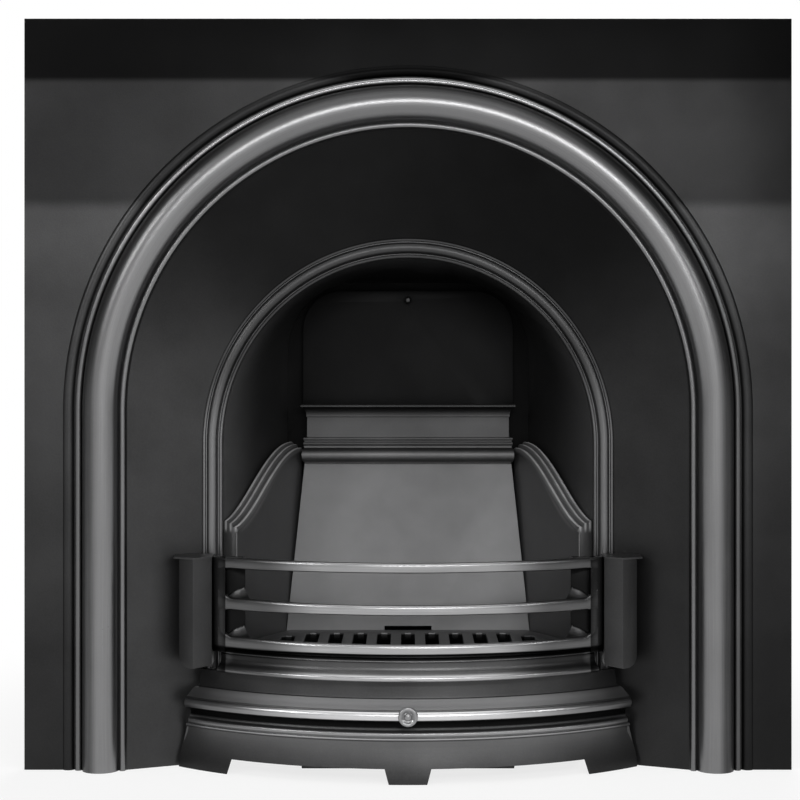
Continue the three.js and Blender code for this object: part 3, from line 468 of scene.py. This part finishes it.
def painted_casting_shade(place):
    """Painted shade and reflection in the lead: two dark bands across the top of the plate, a
    plate that grows paler with height below them and darker to the right, and a reveal that
    darkens towards its crown and to the right. The roll's outer side near the crown is painted
    darker too."""
    x, y, z = place.parts()
    outer, inner = reach_from(place, OUTER_SPRING), reach_from(place, INNER_SPRING)
    # Painted shade: two dark bands across the top of the plate.
    painted_top_bands = 1 - 0.12 * z.step(0.66, 0.712) - 0.5 * z.step(0.7, 0.72) - 0.32 * z.step(0.862, 0.872)
    # Painted reflection: the plate grows paler with height and darker to the right.
    plate = (0.5 + 0.9 * z) * painted_top_bands * (1 - 0.2 * x.step(0.1, 0.4) - 0.24 * x.step(0.39, 0.46))
    # Painted shade: the reveal darkens towards its crown and to the right.
    steepness = (z - 0.43).above(0) / inner.above(0.01)
    splay = (1 - 0.8 * steepness.step(0.05, 0.78)) * (1 - 0.48 * x.step(-0.15, 0.25))
    on_front = 1 - y.step(PLATE_FACE + 0.002, PLATE_FACE + 0.004)
    on_plate = outer.step(ROLL_OUT, ROLL_OUT + 0.0016) * on_front
    on_splay = (1 - outer.step(0.3528, 0.3542)) * inner.step(0.2612, 0.2624)
    # Painted shade on the roll's outer side near the crown.
    painted_dark_flank = 0.5 * outer.band(0.397, 0.4105, 0.003) * z.step(0.62, 0.8)
    return 1 + on_plate * (plate - 1) + on_splay * (splay - 1) - painted_dark_flank


leaded_iron = iron("leaded iron", 0.03, 0.34, 0.42, 0.22, 0.16, rubbed=rubbed_roll_and_painted_sheen, shade=painted_casting_shade)
piece("plate_and_arch", bm, "surround", leaded_iron, "black_iron", "front_casting", crisp=24)

# ---- Hood, back plate, ash pit and fixings ---------------------------------------------------
# The rough castings behind the plate: the tapered hood, the ribbed back plate with its flue
# throat and the walls under the grate, held together with steel bolts. The walls are of sooted
# iron, and the hood and the back plate carry painted shade, darker deeper in the firebox.
sooted_iron = iron("sooted iron", 0.016, 0.05, 0.7, 0.52, 0.4, metal=0.9)
dull_steel = iron("dull steel", 0.05, 0.2, 0.5, 0.35, 0.15)
SHARP = math.radians(48)  # a corner that turns by more is eased


def eased_copy(node, material, slot, ease=0.5, crisp=38):
    """A welded copy of a CAD node with its corners eased, which stands for the node."""
    bm = bmesh.new()
    bm.from_mesh(frame["nodes"][node].data)
    bmesh.ops.transform(bm, matrix=TO_ROW.inverted(), verts=bm.verts)
    bmesh.ops.remove_doubles(bm, verts=bm.verts, dist=0.004)
    bmesh.ops.dissolve_limit(
        bm, angle_limit=math.radians(0.6), use_dissolve_boundaries=False, verts=bm.verts, edges=bm.edges)
    if ease:
        corners = [edge for edge in bm.edges if edge.is_manifold and edge.calc_face_angle(0) > SHARP]
        bmesh.ops.bevel(
            bm, geom=corners, offset=ease, segments=2, profile=0.5, affect="EDGES", material=-1,
            clamp_overlap=True)
    body = frame["nodes"][node]["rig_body"]
    piece(f"{node}_finished", bm, body, material, slot, node, crisp=crisp)


def painted_hood_shade(place):
    """Painted shade: the hood is painted darker towards its back and its top, and on its right,
    and paler at its front.
    """
    x, y, z = place.parts()
    right_and_top = (1 - 0.35 * x.step(-0.1, 0.15)) * (1 - 0.5 * z.step(0.5, 0.62))
    return (2.3 - 1.5 * y.step(-0.02, 0.1)) * right_and_top


BACK_PLATE_FACE = 0.1597  # Y of its side towards the fire


def painted_back_shade(place):
    """Painted shade: the face towards the fire, deep in the firebox, is painted dark, and the
    back keeps the plain tone.
    """
    _, y, _ = place.parts()
    return 0.2 + 0.8 * y.step(BACK_PLATE_FACE + 0.001, BACK_PLATE_FACE + 0.005)


back_plate_iron = iron("back plate iron", 0.016, 0.05, 0.7, 0.52, 0.4, metal=0.9, shade=painted_back_shade)
hood_iron = iron("hood iron", 0.04, 0.16, 0.66, 0.5, 0.3, shade=painted_hood_shade)
eased_copy("hood", hood_iron, "sooted_iron", 0.8)
eased_copy("back_plate", back_plate_iron, "sooted_iron", 0.8)
for node in ("ash_pit_left", "ash_pit_right", "ash_pit_back"):
    eased_copy(node, sooted_iron, "sooted_iron", 0.8)
for node in frame["nodes"]:
    if any(word in node for word in ("bolt", "lug", "bracket", "nut")):
        eased_copy(node, dull_steel, "steel", 0.3)

# ---- Fireback and cap ------------------------------------------------------------------------
# The fireback is a plain sloping plate of bare grey iron, the palest surface of the grate. Its
# pale tone is partly painted light, for the light that its upturned face catches.
# The cap on it is a cornice: shelf, cove, plain band, two fillets and a torus.


def fire_marks_and_painted_light(place):
    """Broad faint clouds that the fire leaves. Painted light makes the sides and the foot paler,
    where shade falls, and painted shade darkens the upper part.
    """
    x, _, z = place.parts()
    # Painted light at the sides.
    sides = 0.3 * abs(x).step(0.03, 0.14)
    clouds = 0.3 * place.noise(6, 3, 0.6) + 0.24 * place.noise(24, 3, 0.6) - 0.27
    return 0.8 + clouds - 0.28 * z.step(0.15, 0.36) + sides


fireback_iron = iron("fireback iron", 0.09, 0.3, 0.76, 0.7, 0.22, metal=0.8, rubbed=fire_marks_and_painted_light)
eased_copy("fireback", fireback_iron, "fireback_iron", 0.8)


def run_on(bm, verts, edges, places):
    """Carries a row of joined vertices on to new places, and gives the new row."""
    made = bmesh.ops.extrude_edge_only(bm, edges=edges)
    fresh = set(moved_verts(made))
    carried = []
    for vert, point in zip(verts, places):
        other = next(edge.other_vert(vert) for edge in vert.link_edges if edge.other_vert(vert) in fresh)
        other.co = point
        carried.append(other)
    pairs = {frozenset(pair) for pair in zip(carried, carried[1:] + carried[:1])}
    new_edges = [
        g for g in made["geom"] if isinstance(g, bmesh.types.BMEdge) and frozenset(g.verts) in pairs]
    return carried, new_edges


def lofted(bm, sections):
    """A solid that runs through closed rows of places, with both its ends filled."""
    verts, edges = row(bm, sections[0], closed=True)
    bmesh.ops.contextual_create(bm, geom=edges)
    for places in sections[1:]:
        verts, edges = run_on(bm, verts, edges, places)
    bmesh.ops.contextual_create(bm, geom=edges)


CAP_BACK, CAP_REBATE, REBATE_FROM = 221, 209.5, 437  # the last is a height
FOOT_HALF, FOOT_FRONT = 142, 203
SHELF_HALF, SHELF_FRONT = 145.5, 192.5
torus_to_band = [  # [front, height]
    (208, 373.4), (208, 374.6), *arc((203, 375.4), (203, 394), 7, 16), (205, 395), (205, 397.5), (203, 398.3),
    (202.3, 400), (203, 402), (206, 403), (206, 404.5), (203.2, 405.4), (202.8, 406.8), (203.2, 408.2)]
band_to_shelf = [
    (204.5, 409), (204.5, 436.4), *arc((203, 437.2), (194.2, 449.5), -3, 12), (192.5, 451), (192.5, 452.5),
    (193, 453.5), (194.4, 454)]


def cap_level(half, front, height):
    """The cap's outline at a height. Behind, the shelf is cut back for the flap's hinge."""
    back = CAP_BACK if height < REBATE_FROM else CAP_REBATE
    return [(-half, back, height), (-half, front, height), (half, front, height), (half, back, height)]


bm = bmesh.new()
levels = [
    cap_level(FOOT_HALF + 0.3 * (FOOT_FRONT - front), front, height) for front, height in torus_to_band]
levels += [
    cap_level(SHELF_HALF - 0.7 * (front - SHELF_FRONT), front, height) for front, height in band_to_shelf]
lofted(bm, levels)


def painted_cap_shade(place):
    """Painted shade and light: the cove under the shelf is painted darker, where shade falls, and
    the torus is painted paler.
    """
    _, _, z = place.parts()
    return 1 + 0.5 * z.band(0.374, 0.396, 0.001) - 0.35 * z.step(0.425, 0.445)


cap_iron = iron("cap iron", 0.04, 0.16, 0.5, 0.4, 0.18, shade=painted_cap_shade)
piece("fireback_cornice", bm, "surround", cap_iron, "sooted_iron", "fireback_cap", crisp=26)

# ---- Cheeks ----------------------------------------------------------------------------------
# Thick side plates that slant in from the reveal to the fireback. The front edge is plain with
# a bead on its arris, and the ogee top carries three reeds that step down towards the fire.
CHEEK_FRONT, CHEEK_BACK = Vector((220, 55)), Vector((145, 214))
CHEEK_THICK, CHEEK_FOOT, CHEEK_NOSE, CHEEK_TOP = 19, 142.5, 308, 402
cheek_run = (CHEEK_BACK - CHEEK_FRONT).length
cheek_way = (CHEEK_BACK - CHEEK_FRONT).normalized()
reeds = [  # [across the edge, out from it]
    *arc((19, -2), (12.8, -3.5), -2.8, 9), *arc((12.2, -4.5), (6, -7.5), -2.8, 9),
    *arc((5.4, -8.5), (-2, -13.5), -3.2, 10), (0, -15.5)]


def ogee(share):
    """The S-shaped top edge as a place along the cheek and a height."""
    ends = (0, CHEEK_NOSE), (50, CHEEK_NOSE + 13), (105, CHEEK_TOP - 2), (170, CHEEK_TOP)
    weights = (1 - share) ** 3, 3 * share * (1 - share) ** 2, 3 * share**2 * (1 - share), share**3
    return Vector([sum(w * end[axis] for w, end in zip(weights, ends)) for axis in (0, 1)])


def lit_reeds(place):
    """Painted highlights: a pale tone is painted along the crests of the reeds near the top edge,
    the grooves between them stay dark as painted shade, and the cheek's face has a little of
    the pale tone."""
    x, y, z = place.parts()
    strokes = place.noise(60, 3, 0.6)
    side = abs(x) / MM - CHEEK_FRONT.x
    depth = (y - PLATE_FACE) / MM - CHEEK_FRONT.y
    along = side / cheek_way.x
    through = cheek_way.y * side - cheek_way.x * depth
    crest = CHEEK_NOSE - 2 + (CHEEK_TOP - CHEEK_NOSE) * along.step(5, 165)
    lines = through.band(14.4, 17.6, 0.5) + through.band(7.8, 10.6, 0.5) + through.band(0.2, 3.2, 0.5)
    top_edge = (z / MM - crest).step(-15, -7)
    return 0.1 + top_edge * (0.6 + strokes) * (0.08 + 0.72 * lines)


cheek_iron = iron("cheek iron", 0.09, 0.2, 0.5, 0.4, 0.2, painted_light=lit_reeds)
OGEE_STEPS = 34
edge_line = [ogee(i / OGEE_STEPS) for i in range(OGEE_STEPS + 1)] + [Vector((cheek_run, CHEEK_TOP))]
last = len(edge_line) - 1
sections = []
for i, point in enumerate(edge_line):
    slope = (edge_line[min(last, i + 1)] - edge_line[max(0, i - 1)]).normalized()
    normal = Vector((-slope.y, slope.x)) if 0 < i < last else Vector((0, 1))
    foot = [(point.x, 0, CHEEK_FOOT), (point.x, CHEEK_THICK, CHEEK_FOOT)]
    top = [(point.x + normal.x * out, across, point.y + normal.y * out) for across, out in reeds]
    sections.append(foot + top)
ARRIS_BEAD, ARRIS_TOP = 1.8, CHEEK_NOSE - 16  # the bead's radius, and where it ends
turn = Matrix((
    (cheek_way.x, cheek_way.y, 0, CHEEK_FRONT.x), (cheek_way.y, -cheek_way.x, 0, CHEEK_FRONT.y),
    (0, 0, 1, 0), (0, 0, 0, 1)))
for side, name in ((-1, "left"), (1, "right")):
    bm = bmesh.new()
    lofted(bm, sections)
    bead_middle = Matrix.Translation((1, 1, (CHEEK_FOOT + ARRIS_TOP) / 2))
    rod(bm, ARRIS_BEAD, ARRIS_TOP - CHEEK_FOOT, 20, bead_middle)
    bmesh.ops.transform(bm, matrix=Matrix.Diagonal((side, 1, 1, 1)) @ turn, verts=bm.verts)
    piece(f"cheek_{name}_casting", bm, "surround", cheek_iron, "sooted_iron", f"cheek_{name}", crisp=30)

# ---- Bottom grate, posts and hangers -----------------------------------------------------------
# The slotted plate that the fire lies on, and the two faceted posts that stand off the reveal
# and hold the front basket in open pockets. Plain castings with eased corners.
GRATE_CENTRE = 0.2432  # of the grate's bowed front, which has a radius of 372 mm


def worn_rim(place):
    """Bright along the bowed front edge."""
    x, y, _ = place.parts()
    back = y - GRATE_CENTRE
    bow = (x * x + back * back).root()
    return 0.2 + 0.6 * bow.step(0.3685, 0.3705)


def painted_slot_shade(place):
    """Painted shade: the walls of the slots and the underside are painted near black."""
    _, _, z = place.parts()
    return 0.12 + 0.88 * z.step(0.1495, 0.1514).above(worn_rim(place) - 0.2)


grate_iron = iron("grate iron", 0.08, 0.32, 0.52, 0.42, 0.3, rubbed=worn_rim, shade=painted_slot_shade)
plain_iron = iron("plain iron", 0.035, 0.13, 0.46, 0.36, 0.22)
eased_copy("bottom_grate", grate_iron, "black_iron", 0.7)
for side in ("left", "right"):
    eased_copy(f"post_{side}", plain_iron, "black_iron", 0.8, crisp=16)
    eased_copy(f"hanger_{side}", plain_iron, "black_iron", 0.4)

# ---- Front basket --------------------------------------------------------------------------------
# Three bowed bars, a moulded lower rail and two ends in one casting. Each end is a plate beside
# the post and a web behind the bars, tied to the lower bars by hollow sloping fillets. The webs,
# the ends and the rail under the lowest bar are painted dark with shade.
BOW_CENTRE, BOW = 312, 400  # the bars' bow, from its centre's depth
BAR_END, BAR_HEIGHT, BAR_DEPTH, BASKET_FOOT = 236, 11.5, 12, 150
BAR_TOPS = 268.5, 217, 169
END_PLATE_IN, END_PLATE_OUT = 228.5, 245
WEB_IN, WEB_FRONT, WEB_BACK, WEB_FOOT = 204, -4, 0, 152.8
rail_section = [
    (397, 160), (391, 159), (390.4, 156.5), (391.6, 153), *arc((395, 150.2), (395.2, 147.2), -1.4, 6),
    (394.2, 145.6), (393.8, 142), (394.4, 138.5), (396.4, 135.4), (399.2, 132.6), (401.2, 131.2),
    (402.2, 129.8), (402.5, 128.2), (402.1, 126.6), (401.2, 125.4), (399.8, 124.7), (388, 124.6),
    (386, 127), (388, 160)]


def bow_depth(radius, x):
    """The depth of an arc of the bow at a distance from the middle."""
    return BOW_CENTRE - math.sqrt(radius**2 - x**2)


def block(bm, outline, way):
    """A flat outline carried along a way into a solid. Gives the solid's vertices."""
    verts, edges = row(bm, outline, closed=True)
    face = bmesh.ops.contextual_create(bm, geom=edges)["faces"]
    moved = moved_verts(bmesh.ops.extrude_face_region(bm, geom=face, use_keep_orig=True))
    bmesh.ops.translate(bm, verts=moved, vec=way)
    return verts + moved


def eased_block(bm, outline, way):
    """A block with all its corners eased."""
    corners = {edge for vert in block(bm, outline, way) for edge in vert.link_edges}
    bmesh.ops.bevel(
        bm, geom=list(corners), offset=0.7, segments=2, profile=0.5, affect="EDGES", material=-1)


def bowed(bm, section, steps):
    """Turns a closed [radius, height] section round the bow into a solid, and gives its vertices."""
    half = math.asin(BAR_END / section[0][0])
    verts, edges = row(bm, [(0, BOW_CENTRE - radius, height) for radius, height in section], closed=True)
    centre = Matrix.Translation((0, BOW_CENTRE, 0))
    start = centre @ Matrix.Rotation(-half, 4, "Z") @ centre.inverted()
    bmesh.ops.transform(bm, matrix=start, verts=verts)
    face = bmesh.ops.contextual_create(bm, geom=edges)["faces"]
    before = set(bm.verts) - set(verts)
    bmesh.ops.spin(
        bm, geom=face, cent=(0, BOW_CENTRE, 0), axis=(0, 0, 1), angle=2 * half, steps=steps)
    return [vert for vert in bm.verts if vert not in before]


bm = bmesh.new()
for top in BAR_TOPS:
    low = top - BAR_HEIGHT
    back = BOW - BAR_DEPTH
    section = [
        (BOW - 3, top), (BOW - 1.4, top - 0.4), (BOW - 0.5, top - 1.4), (BOW, top - 3.4), (BOW, low + 3),
        (BOW - 0.8, low + 1.2), (BOW - 3, low), (back + 2.5, low), (back + 0.4, low + 1.2), (back, low + 3),
        (back, top - 2), (back + 0.8, top - 0.6), (back + 2.4, top)]
    for vert in bowed(bm, section, 84):
        share = math.asin(min(1, abs(vert.co.x) / BOW)) / math.asin(BAR_END / BOW)
        swell = max(0, (share - 0.93) / 0.07) ** 1.6  # of the last 7% at each end
        fuller = max(0, min(1, (abs(vert.co.x) - 90) / 90)) ** 2  # from 90 mm off the middle
        if vert.co.z > top - 5 and top < BAR_TOPS[0]:
            vert.co.z += 11 * swell + 1.2 * fuller
        elif vert.co.z < low + 4:
            vert.co.z -= 0.6 + 3 * swell + 1.2 * fuller
bowed(bm, rail_section, 72)

FILLET_STEPS = 8
for side in (-1, 1):
    for top, rise in zip(BAR_TOPS, (0, 17, 17)):
        sections = []
        for step in range(FILLET_STEPS + 1):
            x = WEB_IN - 10 + (END_PLATE_IN + 11 - WEB_IN) * step / FILLET_STEPS
            grown = min(1, step / 3) ** 1.5
            front = bow_depth(BOW - BAR_DEPTH + 3, x)
            rear = (1 - grown) * bow_depth(BOW - BAR_DEPTH + 1, x) + grown * (WEB_FRONT + 2)
            slope = arc((front, top - 1), (rear, top - 1 + (rise + 1) * grown), -0.1 - 2.4 * grown, 6)
            section = [(front, top - 8), (rear, top - 8), *reversed(slope)]
            sections.append([(side * x, y, z) for y, z in section])
        lofted(bm, sections)
    plate_corners = [
        (END_PLATE_IN, bow_depth(BOW, END_PLATE_IN)), (END_PLATE_OUT, bow_depth(BOW, END_PLATE_OUT)),
        (END_PLATE_OUT, 10), (END_PLATE_IN, 10)]
    eased_block(
        bm, [(side * x, y, BASKET_FOOT) for x, y in plate_corners], (0, 0, BAR_TOPS[0] - BASKET_FOOT))
    web_corners = [
        (WEB_IN, WEB_FRONT), (END_PLATE_IN + 1, WEB_FRONT), (END_PLATE_IN + 1, WEB_BACK), (WEB_IN, WEB_BACK)]
    eased_block(bm, [(side * x, y, WEB_FOOT) for x, y in web_corners], (0, 0, BAR_TOPS[0] - WEB_FOOT))
    tongue = [(5, 216), (26, 216), (26, 186), (20, 186), (20, 206), (5, 206)]  # it hooks over a hanger
    eased_block(bm, [(side * 231.5, y, z) for y, z in tongue], (side * 10.5, 0, 0))


def rubbed_bars_and_painted_shade(place):
    """Rubbed bright on the front of the bars, in strokes that follow the bow, and painted paler
    towards the bottom. Painted shade darkens the rail's face under the lowest bar, leaving a
    painted highlight on its lip and a thin one near its top.
    """
    x, y, z = place.parts()
    strokes = place.along(x * 14, y * 30, z * 900).noise(1, 3, 0.6)
    # Painted shade on the rail's face, with a thin painted highlight near its top.
    rail = 1 - 0.93 * z.band(0.1325, 0.1565, 0.002) + 0.12 * z.band(0.1475, 0.1505, 0.0006)
    # Painted paler towards the bottom.
    return (0.5 + 0.4 * strokes) * rail * (1.38 - 2.2 * z)


def shaded_ends(place):
    """Painted shade: the bars grow darker towards their ends, the end plates and the webs are
    painted darker still, and so is the hollow under the lowest bar.
    """
    x, y, z = place.parts()
    outwards = abs(x)
    ends = 1 - 0.86 * outwards.step(0.2272, 0.2288)
    behind = y.step(-0.086, -0.08) * outwards.step(0.196, 0.204)
    ends = ends * (1 - 0.72 * outwards.step(0.1, 0.18) + 0.5 * behind)
    # Painted shade on the webs.
    webs = 1 - 0.97 * y.step(-0.0745, -0.0732) * outwards.step(0.198, 0.203)
    # Painted shade in the hollow under the lowest bar.
    hollow = 1 - 0.88 * z.band(0.1515, 0.158, 0.0015)
    return ends * webs * hollow


rubbed_iron = iron(
    "rubbed iron", 0.035, 0.52, 0.4, 0.28, 0.14, rubbed=rubbed_bars_and_painted_shade, shade=shaded_ends)
piece("front_basket_casting", bm, "basket", rubbed_iron, "rubbed_iron", "front_basket", crisp=30)

# ---- Fret ------------------------------------------------------------------------------------------
# The bowed cover of the ash pit: a recessed band, a sloping ledge, a rubbed nose, a cove, two
# beads and a flaring apron on three feet. A hollow casting that stands loose on the hearth.
FRET_AXIS, FRET_STEPS = 353.5, 64  # the depth of its bow's centre, and how finely it is bowed
KNOB_HEIGHT, STUD_HOLE = 85.6, 3.6
fret_face = [  # [front at the middle, height, half width]
    (68, 123.5, 262), (68, 104, 265), (68.6, 101.8, 268), (70, 100.6, 270), (75, 99.4, 272.5),
    (83, 95.6, 275.5), (90.4, 91.1, 279.4), (90.8, 90.4, 279.5), (91, 89.8, 279.6), (92.2, 89.5, 280.4),
    (93.8, 88.3, 281), (95.2, 86.2, 281.6), (95.7, 83.8, 281.7), (95.4, 81.2, 281.4), (94.2, 79, 280.8),
    (92, 77.8, 280), (88.4, 77.5, 278.4), (85, 76.6, 276.8), (82, 74.8, 275.9), (80, 72.4, 275.3),
    (79.3, 69.6, 275), (79.6, 66.6, 275.3), (80.8, 64.7, 276), (82.4, 63.8, 276.7), (84.6, 62.8, 277.4),
    (85.7, 61.4, 277.7), (86, 60, 277.8), (85.7, 58.6, 277.7), (84.6, 57.3, 277.5), (82, 56.6, 277.5),
    (82, 56, 278.6), (83.3, 55.6, 280.4), (84, 54.6, 281), (84, 53.6, 281), (83.2, 52.6, 281),
    (80.8, 51.6, 280.6), (80.2, 48, 281), (80.5, 42, 282), (81.2, 36, 283.6), (82.2, 30, 285.2),
    (83.5, 24.5, 287), (85, 19, 288.5), (86.8, 12, 289.7), (88, 6, 290.3), (88, 0, 290.5)]
fret_inside = [
    (80, 0), (80, 6), (77, 20), (74, 32), (73, 44), (73, 72), (80, 77), (80, 92.5), (70, 96), (62, 98.5),
    (61, 123.5)]


def inner_half(height):
    """Half the width of the hollow behind the fret's face, which is wider further down."""
    if height > 93:
        return 262
    return 273 if height > 46 else 277


fret_ring = fret_face + [(front, height, inner_half(height)) for front, height in fret_inside]


def fret_row(share):
    """The fret's section at a share of the way from the middle to one end."""
    places = []
    for front, height, half in fret_ring:
        radius = FRET_AXIS + front
        angle = share * math.asin(half / radius)
        places.append((radius * math.sin(angle), FRET_AXIS - radius * math.cos(angle), height))
    return places


bm = bmesh.new()
lofted(bm, [fret_row(2 * i / FRET_STEPS - 1) for i in range(FRET_STEPS + 1)])
bmesh.ops.remove_doubles(bm, verts=bm.verts, dist=0.002)
bmesh.ops.recalc_face_normals(bm, faces=bm.faces)
fret_solid = bpy.data.meshes.new("fret solid")
bm.to_mesh(fret_solid)
bm.free()
bm = bmesh.new()
gap = [(28.5, 18.5), (219.5, 18.5), (227, -5), (22, -5)]  # between the middle foot and a side foot
for side in (-1, 1):
    block(bm, [(side * x, -120, z) for x, z in gap], (0, 180, 0))
rod(bm, STUD_HOLE, 60, 24, Matrix.Translation((0, -90, KNOB_HEIGHT)) @ TO_FRONT)
bmesh.ops.recalc_face_normals(bm, faces=bm.faces)
foot_gaps = bpy.data.meshes.new("gaps between the feet")
bm.to_mesh(foot_gaps)
bm.free()
fret_object = bpy.data.objects.new("fret solid", fret_solid)
gaps_object = bpy.data.objects.new("gaps between the feet", foot_gaps)
for made in (fret_object, gaps_object):
    scene.collection.objects.link(made)
cutter = fret_object.modifiers.new("feet", "BOOLEAN")
cutter.operation = "DIFFERENCE"
cutter.solver = "EXACT"
cutter.object = gaps_object
bpy.context.view_layer.update()
evaluated = fret_object.evaluated_get(bpy.context.evaluated_depsgraph_get())
bm = bmesh.new()
bm.from_mesh(evaluated.to_mesh())
evaluated.to_mesh_clear()
for made in (fret_object, gaps_object):
    bpy.data.objects.remove(made)


def rubbed_nose(place):
    """The nose is rubbed brightest, then the beads, and the apron a little towards its top."""
    x, y, z = place.parts()
    strokes = place.along(x * 12, y * 30, z * 800).noise(1, 3, 0.6)
    nose = 0.7 * z.band(0.0785, 0.0895, 0.0012)
    beads = 0.5 * z.band(0.0525, 0.0655, 0.001) + 0.25 * z.band(0.052, 0.0562, 0.0006)
    apron = (0.2 * z.step(0.012, 0.055) - 0.04) * (1 - z.step(0.0505, 0.0515))
    return (0.85 + 0.3 * strokes) * (nose + beads + apron)


def painted_fret_shade(place):
    """Painted shade and highlight: the cove under the nose and the line between the beads are
    painted dark, the nose is painted paler about its middle, and the fret is painted darker
    towards both ends."""
    x, _, z = place.parts()
    outwards = abs(x)
    # Painted shade in the cove under the nose.
    cove = 1 - 0.92 * z.band(0.067, 0.0775, 0.0012)
    # Painted highlight about the middle of the nose.
    cove = cove + 0.7 * z.band(0.0795, 0.0885, 0.0008) * (1 - outwards.step(0.05, 0.22))
    # Painted shade towards both ends.
    ends = 1 - (0.35 + 0.35 * z.step(0.05, 0.08)) * outwards.step(0.1, 0.28)
    # Painted shade on the line between the beads.
    return cove * ends * (1 - 0.5 * z.band(0.0562, 0.0582, 0.0005))


def painted_lit_ledge(place):
    """Painted light on the upturned ledge over the nose, pale and dull, most of all at its back
    and about its middle.
    """
    x, _, z = place.parts()
    # Painted light, strongest at the ledge's back.
    ledge_light = z.band(0.0912, 0.1008, 0.0006) * (0.55 + 0.45 * z.step(0.092, 0.099))
    return ledge_light * (1 - 0.7 * abs(x).step(0.12, 0.28))


fret_iron = iron(
    "fret iron", 0.035, 0.5, 0.5, 0.26, 0.16, rubbed=rubbed_nose, shade=painted_fret_shade, painted_light=painted_lit_ledge)
piece("fret_casting", bm, "fret", fret_iron, "rubbed_iron", "fret", crisp=30)

# ---- Knobs and damper ------------------------------------------------------------------------------
# The fret's turned knob is polished, with a dished face and a raised button. The damper's is
# plain and small, near the top of its flap. Each has a stud that goes through what it is on.
polished_iron = iron("polished iron", 0.2, 0.62, 0.34, 0.2, 0.08, metal=0.95)
black_flap = iron("black flap", 0.008, 0.024, 0.66, 0.52, 0.3)


def turned_knob(name, profile, place, body, node, material):
    """A knob turned from a [radius, height] profile, which points at the room from its place."""
    bm = bmesh.new()
    verts, edges = row(bm, [(radius, 0, height) for radius, height in profile])
    bmesh.ops.spin(
        bm, geom=verts + edges, cent=(0, 0, 0), axis=(0, 0, 1), angle=2 * math.pi, steps=48,
        use_merge=True)
    bmesh.ops.transform(bm, matrix=Matrix.Translation(place) @ TO_FRONT, verts=bm.verts)
    piece(name, bm, body, material, "polished_iron", node, crisp=35)


turned_knob("fret_knob_turned", [
    (0, -22), (3, -22), (3, 0), (6.5, 0), (6.6, 1.2), (5.6, 2.2), (5.2, 3.2), (6, 4.4), (8.6, 5.2),
    (10.8, 6.2), (11.7, 7.4), (12, 8.6), (11.8, 9.8), (11.2, 10.8), (10.2, 11.3), (9, 11.2),
    (7.6, 10.4), (6.4, 9.5), (5.4, 9.2), (4.8, 9.6), (4.4, 10.8), (3.6, 11.9), (2.2, 12.6), (0, 12.8)],
    (0, -96.1, KNOB_HEIGHT), "fret", "fret_knob", polished_iron)
FLAP_LEAN = 0.02
flap_foot = Matrix.Translation((0, 217.5, 447)) @ Matrix.Rotation(-FLAP_LEAN, 4, "X")
turned_knob("damper_knob_turned", [
    (0, -9), (2.2, -9), (2.2, 0), (3.4, 0), (3.2, 1.2), (2.7, 2.6), (2.8, 4.2), (3.8, 5.6), (4.5, 7),
    (4.6, 8.4), (4.2, 10), (3.2, 11.2), (1.8, 11.8), (0, 12)],
    flap_foot @ Vector((0, -2.9, 149)), "damper", "damper_knob", plain_iron)
eased_copy("damper_flap", black_flap, "sooted_iron", 0.6)

# ---- Ash pan ---------------------------------------------------------------------------------------
# A folded sheet-steel pan with a rolled edge and a bent rod for a handle. It slides in on the
# hearth behind the fret.
black_sheet = iron("black sheet", 0.02, 0.07, 0.55, 0.42, 0.1, metal=0.7)
eased_copy("ash_pan", black_sheet, "sheet_steel", 0.5)
eased_copy("ash_pan_handle", dull_steel, "steel", 0, crisp=50)
